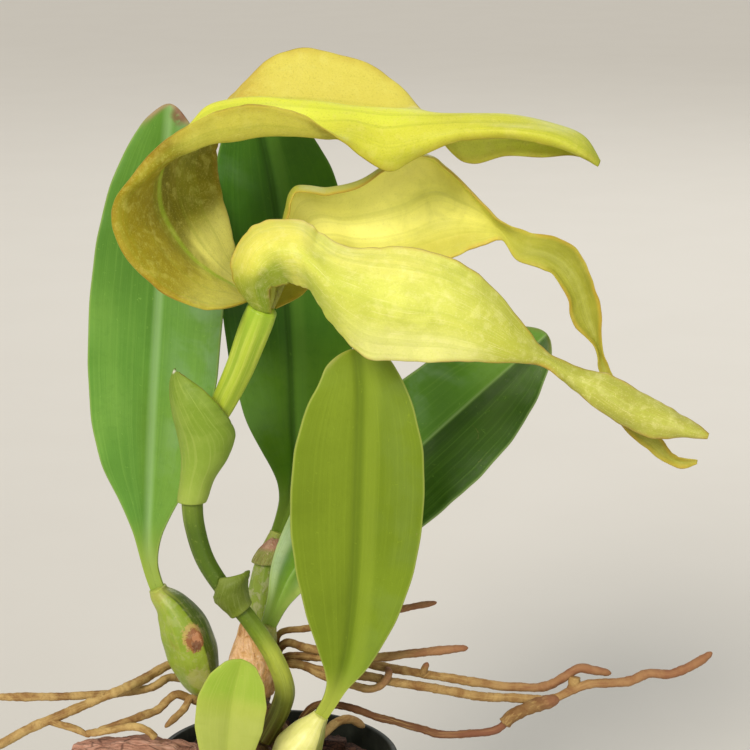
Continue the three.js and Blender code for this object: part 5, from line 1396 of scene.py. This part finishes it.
farSepal = {
    "rows": [
        [[-2.6, -16.4, 186], [-1.6, -16.3, 185.6], [-0.5, -16.5, 185.2],
         [0.5, -17.1, 184.8], [1.3, -18, 184.4], [1.7, -19, 184.2]],
        [[0, -14, 190.5], [0.5, -11, 189.5], [1.5, -9, 188],
         [3.5, -9, 187], [5.5, -11, 186.5], [7, -14, 186]],
        [[2, -14, 198], [2.5, -9, 198], [4, -5, 195.5], [6.5, -4, 193], [9, -7, 190.5], [11, -12, 189]],
        [[4.5, -12, 206], [4, -7, 206.5], [6, -3, 204], [9.5, -1, 200], [12.5, -4, 196], [15, -10, 192.5]],
        [[6.5, -10, 211], [6.5, -5, 211.5], [9.5, -1, 207], [13, 1, 201.5], [17, -3, 196.5], [20, -9, 192]],
        [[14.5, -8, 210.5], [14.5, -3, 211], [16.5, 1, 206], [19, 3, 200.5], [22, -1, 195], [25, -8, 191.5]],
        [[22.5, -6, 212], [22.5, -1, 212.5], [24, 3, 207], [26, 4, 201], [29, 0, 195], [31.5, -7, 191.5]],
        [[29.5, -3, 216.5], [30, 1, 216.5], [31.5, 5, 209.5],
         [33.5, 5, 202.5], [35.5, 1, 196.5], [37.5, -6, 192]],
        [[38, 0, 218.5], [38, 3, 218], [39.5, 6, 212], [41, 5, 206], [43, 1, 199], [44.5, -6, 194]],
        [[43.5, -1, 216], [44, 3, 214.5], [46, 5, 210], [47.5, 4, 204.5], [49, 0, 200], [50.5, -5, 196.5]],
        [[50, -3, 209.5], [50.5, 1, 208.5], [52, 2, 206], [53, 1, 203], [54, -2, 200], [55, -5, 198]],
        [[56.5, -7, 204], [56.6, -5, 203], [56.9, -4, 201.8],
         [57.2, -4, 200.7], [57.4, -5, 199.6], [57.5, -6, 198.4]],
        [[63.5, -11, 201.5], [63, -10, 200], [62.5, -9.5, 198.5],
         [61.5, -9.5, 197], [61, -10, 195.5], [60.5, -11, 194.7]],
        [[70, -14, 201], [69.5, -13, 199.5], [68.5, -12, 197.5],
         [67.5, -12, 196], [66.5, -13, 194.5], [65.5, -14, 193.5]],
        [[75, -17, 198], [74, -15, 196.5], [73, -14, 195],
         [72, -14, 193.5], [70.5, -15, 192], [69.8, -17, 191.5]],
        [[78.5, -19, 191.5], [77.5, -17, 190.5], [76.5, -16, 189.5],
         [75, -16, 188.5], [73.5, -17, 187.5], [72.5, -19, 187]],
        [[80.5, -21, 184], [79.5, -19, 183.2], [78.5, -18, 182.5],
         [77, -18, 181.8], [75.5, -19, 181.3], [74, -21, 181]],
        [[81, -22, 176], [80.6, -21, 175.8], [80.2, -20.5, 175.7],
         [79.8, -20.5, 175.6], [79.4, -21, 175.5], [79, -22, 175.5]],
        [[82.6, -23, 170.2], [82.3, -22.3, 170], [81.9, -22, 169.9],
         [81.5, -22, 169.7], [81, -22.3, 169.5], [80.6, -23, 169.4]],
        [[86, -25, 165], [85.3, -24.3, 164.5], [84.6, -24, 164],
         [83.8, -24, 163.4], [83, -24.3, 162.9], [82.2, -25, 162.4]],
        [[91, -28, 159], [90.3, -27.2, 158.3], [89.5, -27, 157.6],
         [88.6, -27, 156.9], [87.8, -27.2, 156.2], [87, -28, 155.5]],
        [[95.5, -30, 154], [95, -29.2, 153.4], [94.4, -29, 152.8],
         [93.8, -29, 152.3], [93.1, -29.2, 151.8], [92.4, -30, 151.3]],
        [[97.8, -31, 150.8], [97.6, -30.3, 150.3], [97.3, -30, 149.9],
         [97, -30, 149.4], [96.8, -30.3, 149], [96.5, -31, 148.5]],
        [[100.7, -32, 150], [100.6, -31.3, 149.5], [100.5, -31, 149],
         [100.4, -31, 148.5], [100.3, -31.3, 148], [100.2, -32, 147.5]],
        [[103.6, -33, 149.9], [103.6, -32.8, 149.7], [103.6, -32.7, 149.5],
         [103.5, -32.7, 149.3], [103.5, -32.8, 149.1], [103.5, -33, 148.9]],
    ],
    "net": (240, 60), "wave": 0.3, "waveSeed": 5.9,
    "inside": [
        (0.0, "#a9a83a"), (0.1, "#dcd460"), (0.22, "#f0ee7a"), (0.38, "#f2f07e"),
        (0.46, "#c0c04c"), (0.56, "#9ea038"), (0.74, "#989a36"), (1.0, "#a19c3c"),
    ],
    "outside": [(0.0, "#98a234"), (0.3, "#c8c64c"), (0.6, "#b3b644"), (1.0, "#aeb046")],
    "zones": [
        ("inside", (0.1, 0.3), (-0.2, 0.16), "#cfae2e", 0.7),  # warm upper corner
        ("inside", (0.12, 0.28), (0.25, 0.8), "#fbf992", 0.6),  # where it catches the light
        ("inside", (0.12, 0.4), (0.78, 1.2), "#bcb648", 0.6),  # shaded lower margin
        ("inside", (0.26, 0.4), (-0.2, 0.4), "#e4dd82", 0.5),  # pale upper end
        ("inside", (0.5, 0.74), (0.35, 0.75), "#878c2a", 0.5),  # greener middle of the ribbon
    ],
    "blotch": "#b9b94a", "blotchInside": 0.3, "blotchOutside": 0.3, "pale": "#e9e592", "paleStrength": 0.2,
    "vein": "#b3b748",
    "fibre": 0.22, "midrib": 0.2, "warm": "#c9a436", "warmWidth": 1.5, "warmStrength": 0.45,
    "rim": "#9a7428", "rimWidth": 0.36, "rimStrength": 0.45,
}
petals = {
    "petal_left": [
        [[-3.4, -20.3, 185.6], [-3.5, -19.6, 185.6], [-3.4, -18.9, 185.6]],
        [[-3.9, -20.9, 188.6], [-4.2, -19.4, 189], [-3.9, -18, 188.6]],
        [[-4.2, -20.8, 192], [-4.6, -19.4, 193], [-4.2, -18.2, 192]],
        [[-4.2, -20, 195.2], [-4.3, -19.4, 195.6], [-4.2, -18.9, 195.2]],
    ],
    "petal_right": [
        [[-0.2, -21.6, 184.4], [0.1, -21.2, 184.4], [0.4, -20.7, 184.4]],
        [[0.4, -22.4, 187.6], [1, -21.4, 188], [1.4, -20.6, 187.6]],
        [[0.4, -22.6, 191], [1.2, -21.8, 192], [1.6, -21, 191]],
        [[0.6, -22.2, 194.2], [0.9, -21.9, 194.6], [1.2, -21.6, 194.2]],
    ],
}
petalForm = {"net": (30, 18), "thickness": 0.6, "margin": 0.4}
sepalForm = {"thickness": 0.8, "margin": 0.35, "pitches": (16, 15)}
petalLook = {
    "inside": [(0.0, "#9aa834"), (1.0, "#aaa83a")], "outside": [(0.0, "#93a430"), (1.0, "#a6a63a")],
    "zones": [], "blotch": "#8a8a2c", "blotchInside": 0.4, "blotchOutside": 0.3,
    "pale": "#c9cc6a", "paleStrength": 0.5, "vein": "#8a9030",
    "fibre": 0.1, "midrib": 0.2, "warm": "#9a8a2c", "warmWidth": 0.8, "warmStrength": 0.3,
    "rim": "#84762a", "rimWidth": 0.3, "rimStrength": 0.3,
}
column = {
    "line": [[-1.8, -19.6, 185.2], [-2, -19.6, 187.7], [-1.6, -19.4, 191], [0, -19.2, 193.6]],
    "radii": [[0, 1], [0.5, 1.3], [0.8, 1.5], [1, 0.9]],
    "flesh": "#b9ba5c", "spot": "#8a6a30", "cap": "#d8d49c", "cut": (40, 0.15, 0.3, 0.7),
    "relief": 0.12, "capAt": (0.86, 0.05), "neckAt": (0.77, 0.025),
}
lip = {
    "line": [[0.5, -19.2, 184.1], [1.2, -18.3, 186.5], [2, -17.7, 189.2],
             [3.4, -17.6, 192.4], [5.2, -18.6, 195.5], [6.8, -20, 197.6]],
    "flatness": 0.6, "radii": [[0, 0.7], [0.3, 1.5], [0.65, 1.7], [1, 0.6]], "cut": (40, 0.2, 0.4, 0.5),
    "channel": 0.18, "channelWidth": 0.4,
    "flesh": "#989a30", "spot": "#86822a", "tip": "#b3ac48",
}


def sepalSkin(name, look):
    desk = NodeDesk(name, roughness=0.47, glow=0.16, glowDepth=1.2, shine=0.19)
    across, along = desk.span("across"), desk.span("along")
    inside, fromMargin = desk.value("inside"), desk.value("fromMargin")
    sides = {"inside": inside, "outside": desk.math("SUBTRACT", 1.0, inside)}
    cloud = desk.between(desk.noise(6, 4, 0.6, 0.5), 0.38, 0.62)
    faces = []
    for side, blotch in (("outside", look["blotchOutside"]), ("inside", look["blotchInside"])):
        desk.colour = desk.ramp(along, look[side])
        desk.cover(cloud, look["blotch"], blotch)
        faces.append(desk.colour)
    desk.colour = desk.mix(inside, *faces)
    for side, lengthwise, crosswise, code, strength in look["zones"]:
        desk.cover(desk.both(desk.zone(lengthwise, crosswise, 0.035), sides[side]), code, strength)
    for side, lengthwise, at, half, code, strength in look.get("lines", []):
        away = desk.math("ABSOLUTE", desk.math("SUBTRACT", across, at))
        where = desk.both(desk.window(along, *lengthwise, 0.02), desk.between(away, half, 0.2 * half))
        desk.cover(desk.both(where, sides[side]), code, strength)
    desk.lay(desk.noise(2.6, 3, 0.6, 0.4), 0.48, 0.7, look["pale"], 0.42 * look["paleStrength"])
    veins = desk.streaks(16, 1.3)
    desk.lay(veins, 0.5, 0.66, look["vein"], 0.25)
    fibres = desk.streaks(75, 14)
    desk.lay(fibres, 0.55, 0.72, look["pale"], look["fibre"])
    desk.lay(desk.value("fromMiddle"), 1.3, 0.3, look["vein"], 0.6 * look["midrib"])
    grain = desk.noise(0.4, 2, 0.5)
    desk.lay(grain, 0.56, 0.7, look["pale"], 0.36 * look["paleStrength"])
    desk.lay(grain, 0.44, 0.3, look["blotch"], 0.16)
    uneven = desk.between(desk.noise(9, 2, 0.5), 0.35, 0.6, 0.35, 1)
    for band, inner in (("warm", 0.2), ("rim", 0)):
        edge = desk.both(desk.between(fromMargin, look[band + "Width"], inner), uneven)
        desk.cover(edge, look[band], look[band + "Strength"])
    desk.bump(veins, 0.06)
    desk.bump(desk.noise(5, 3, 0.5, 0.3), 0.3)
    desk.bump(fibres, 0.1 * look["fibre"])
    desk.bump(grain, 0.05)
    return desk.done(desk.between(grain, 0.3, 0.7, 0.42, 0.56))


def makeSepal(name, look, node):
    def shape(net, downs, acrosses):
        ends = np.clip(np.minimum(downs * 12, (1 - downs) * 10), 0, 1)[:, None]
        sway = marginSway(downs, acrosses, sepalForm["pitches"], look["waveSeed"], 3, 4)
        return net + netNormals(net) * (sway * ends * look["wave"])[..., None]
    part = sheetPart(look["rows"], look["net"], sepalForm["thickness"], sepalForm["margin"], shape, 0.01)
    addPiece(name, [part], sepalSkin(name + " skin", look), node)


def makePetals():
    skin = sepalSkin("petal skin", petalLook)
    for node, rows in petals.items():
        part = sheetPart(rows, petalForm["net"], petalForm["thickness"], petalForm["margin"])
        addPiece(node.replace("petal_", "petalBlade_"), [part], skin, node)


def columnSkin(look):
    desk = NodeDesk("column skin", roughness=0.4, coat=0.1)
    desk.colour = desk.mix(desk.between(desk.span("along"), 0.78, 0.86), look["flesh"], look["cap"])
    desk.lay(desk.noise(0.8, 3, 0.6), 0.56, 0.64, look["spot"], 0.7)
    desk.bump(desk.noise(0.6, 2, 0.5), 0.08)
    return desk.done()


def makeColumn(look):
    def radiusAt(parts, angles):
        wings = 1 + look["relief"] * np.cos(2 * angles) * np.sin(math.pi * parts)
        cap = 1 + look["relief"] * (hump(parts, *look["capAt"]) - hump(parts, *look["neckAt"]))
        return readOff(look["radii"], parts, 0.05) * wings * cap
    part = roundPart(look["line"], radiusAt, *look["cut"])
    addPiece("flowerColumn", [part], columnSkin(look), "column")


def lipSkin(look):
    desk = NodeDesk("lip skin", roughness=0.42, coat=0.1)
    desk.colour = desk.mix(desk.between(desk.span("along"), 0.6, 1), look["flesh"], look["tip"])
    desk.lay(desk.noise(0.9, 4, 0.6), 0.5, 0.6, look["spot"], 0.75)
    desk.bump(desk.noise(0.5, 3, 0.6), 0.12)
    return desk.done()


def makeLip(look):
    def radiusAt(parts, angles):
        channel = hump(angles, math.pi / 2, look["channelWidth"]) * np.sin(math.pi * parts)
        return readOff(look["radii"], parts, 0.05) * (1 - look["channel"] * channel)
    part = roundPart(look["line"], radiusAt, *look["cut"], look["flatness"])
    addPiece("flowerLip", [part], lipSkin(look), "lip")


makeSepal("dorsalSepal", dorsalSepal, "dorsal_sepal")
makeSepal("nearSepal", nearSepal, "lateral_sepal_near")
makeSepal("farSepal", farSepal, "lateral_sepal_far")
makePetals()
makeColumn(column)
makeLip(lip)
print("flower opened")

# Roots: each is its radius, how dark it is, and its knotty line
roots = {
    "roots_left": [
        (1.25, 0.1, [[-18.6, 9, 71], [-20.5, 13.2, 72.5], [-24, 15.5, 76.5], [-27.5, 14.6, 79.8],
                     [-32, 11, 79], [-36, 6.5, 78], [-41, 1, 77.5], [-46, -1, 76],
                     [-52, -3.5, 74.2], [-59, -5, 71.5], [-66, -7, 69], [-73.5, -10, 65.5]]),
        (1.1, 0.2, [[-18.6, 9, 71], [-20.5, 13.2, 72.5], [-24.5, 14.6, 75.2], [-29, 12, 76.9],
                    [-33.5, 8, 75.6], [-44, 6, 74.5], [-60, 4, 74.5], [-74, 4, 74.5]]),
        (1.1, 0.3, [[-18.6, 8, 70.5], [-22, 4, 73.5], [-26, 2, 76], [-28.5, 1, 74.8],
                    [-31.5, -1, 72.5], [-38, -5, 71.5], [-44, -7, 70], [-47.5, -8, 68.6]]),
        (0.95, 0.35, [[-18.6, 8, 70.5], [-21, 3.2, 73.5], [-22.6, 2, 74.9],
                      [-24.2, 0, 72.8], [-27, -2.5, 70.6], [-29, -4, 69]]),
        (1, 0.1, [[-31, -9, 68.2], [-33, -9, 70.3], [-37, -8, 71], [-43, -8, 69.8], [-50, -7.8, 69]]),
        (1, 0.25, [[-59, -5, 71.3], [-54, -7, 70.5], [-50.5, -7.8, 69.6], [-48, -8, 68.2]]),
    ],
    "roots_right": [
        (0.9, 0.5, [[-4.4, 12.5, 78.5], [-2, 10.8, 80.5], [-0.8, 10.5, 86], [1, 9.6, 90.5], [7, 8, 92],
                    [14, 7, 93], [23, 6, 95.5], [31.5, 6, 98], [42, 6, 100]]),
        (1.1, 0.5, [[-4.4, 12.5, 78.5], [-2, 10.8, 80.5], [2, 9, 87.5], [8, 5, 87.7],
                    [15.5, 3, 87], [25, 1, 86.5], [40, -1, 89], [50, -2, 90.5]]),
        (1.2, 0.4, [[-4.4, 12.5, 78.5], [-2, 10.8, 80.5], [4, 8, 84.3], [15.5, 4, 85], [22.5, 3, 84.5],
                    [29.5, 3, 83], [45.5, 3, 80], [61, 2, 78], [70, 1, 78.5], [75, 0, 81.5],
                    [79, 0, 84], [83, 0, 83.5], [87.5, 0, 82.5]]),
        (1.2, 0.45, [[-4.4, 12.5, 78.5], [-2, 10.8, 80.5], [4, 6, 83], [11.5, 2, 82.5],
                     [18, 0, 82.5], [31, -2, 81], [50.5, -2, 77.5], [61, -2, 76.5],
                     [71, -2, 76], [77, -2, 78.5], [83, -2, 80.5], [91.5, -2, 81],
                     [97, -3, 83.5], [103, -3, 83.5], [109.5, -3.5, 87], [113, -4, 90]]),
        (1, 0.5, [[7.5, 4, 83], [15.5, -3, 81.5], [20, -4, 80.6], [24.5, -4, 79.8],
                  [27.5, -4, 81], [29.3, -2.5, 83.2], [29, 2, 83.4]]),
        (1, 0.95, [[2.4, -2.8, 61], [5, -3.6, 68], [10, -5, 75.5], [16.5, -6, 76], [26.5, -6, 73],
                   [37.5, -6, 69.5], [42.5, -6, 68], [50, -6, 68.2], [57, -6, 69], [61.5, -5.5, 73]]),
        (1.8, 0.8, [[59.3, -6, 70.8], [61.5, -5.5, 73], [65, -5, 74.5],
                    [68.5, -4, 75.4], [74, -2.4, 76.6]]),
        (1.6, 0.6, [[78, -0.6, 82], [77.5, -1, 79.5], [76, -2, 77.6]]),
        (1.1, 0.6, [[38.3, 3, 81.2], [38.8, 2.6, 83], [39.6, 2, 84.8]]),
    ],
    "root_in_pot": [
        (1.2, 0.1, [[3, -1, 58], [9, 5, 60.5], [15, 9.5, 64.5], [19.3, 12, 65], [23, 14.5, 61.8]]),
    ],
}
rootLook = {
    "cream": "#c0a468", "tan": "#9a7a46", "brown": "#76502c", "dark": "#43210f", "tip": "#8c5a44",
    # the name of each piece and how far its tips are tinted
    "pieces": {
        "roots_left": ("bareRoots_left", 0.1), "roots_right": ("bareRoots_right", 0.65),
        "root_in_pot": ("potRoot", 0.3),
    },
    "cut": (18, 0.55, 0.4), "roundTip": 1.2, "ribbed": 0.05, "wander": 0.3, "wanderSize": 6,
    "tipShare": 0.6, "taperLength": 8,
    # size of the knots, how high they stand, seed, waves
    "knots": [(5, 0.07, 1.5, 4), (1.8, 0.05, 4.5, 3)],
}


def rootSkin(name, look, tipStrength):
    desk = NodeDesk(name, roughness=0.75, shine=0.28)
    tone = desk.value("tone")
    patchy = desk.noise(5, 5, 0.65, 0.6)
    desk.bands(patchy, look, brown=0.3, tan=0.44, cream=0.6)
    desk.cover(tone, look["brown"], 0.85)
    desk.lay(tone, 0.7, 1, look["dark"], 0.75)
    desk.lay(desk.noise(1.1, 4, 0.7, 0.8), 0.58, 0.68, look["dark"], 0.35)
    strands = desk.streaks(12, 9, True)
    desk.lay(strands, 0.5, 0.66, look["cream"], 0.35)
    desk.lay(desk.span("along"), 0.5, 0.95, look["tip"], tipStrength)
    desk.bump(strands, 0.1)
    desk.bump(desk.noise(1, 4, 0.65), 0.2)
    return desk.done()


def rootPart(k, radius, darkness, line):
    length = lineLength(line)

    def radiusAt(parts, angles):
        taper = np.minimum(1, rootLook["tipShare"] + (1 - parts) * length / rootLook["taperLength"])
        knots = 1
        for size, height, seed, waves in rootLook["knots"]:
            knots = knots + height * ripple(parts * length / size, k + seed, waves)
        return radius * taper * knots * (1 + rootLook["ribbed"] * np.cos(3 * angles + 9 * parts))
    part = roundPart(line, radiusAt, *rootLook["cut"], rootLook["roundTip"] * radius)
    sway, other = (grainAt(part["points"], rootLook["wanderSize"], k + seed) for seed in (2, 9))
    part["points"] = part["points"] + np.stack([0 * sway, sway, other], axis=1) * rootLook["wander"]
    part["values"] = {"tone": darkness}
    return part


def makeRoots(node, name, tipStrength):
    parts = [rootPart(k, *root) for k, root in enumerate(roots[node])]
    skin = rootSkin(node.replace("_", " ") + " skin", rootLook, tipStrength)
    addPiece(name, parts, skin, node)


for node, (name, tipStrength) in rootLook["pieces"].items():
    makeRoots(node, name, tipStrength)
print("roots laid")


def makeFloor():
    desk = NodeDesk("pale floor", roughness=0.7)
    speck = desk.between(desk.noise(studio["speckSize"], 3, 0.5), 0.3, 0.7, 0, studio["speckStrength"])
    desk.colour = desk.mix(speck, studio["floorColour"], studio["speckColour"])
    half = studio["floorHalf"]
    mesh = bpy.data.meshes.new("floor")
    corners = [(-half, -half, 0), (half, -half, 0), (half, half, 0), (-half, half, 0)]
    mesh.from_pydata(corners, [], [(0, 1, 2, 3)])
    mesh.materials.append(desk.done())
    floor = inScene("floor", mesh)


makeFloor()
print("floor laid")
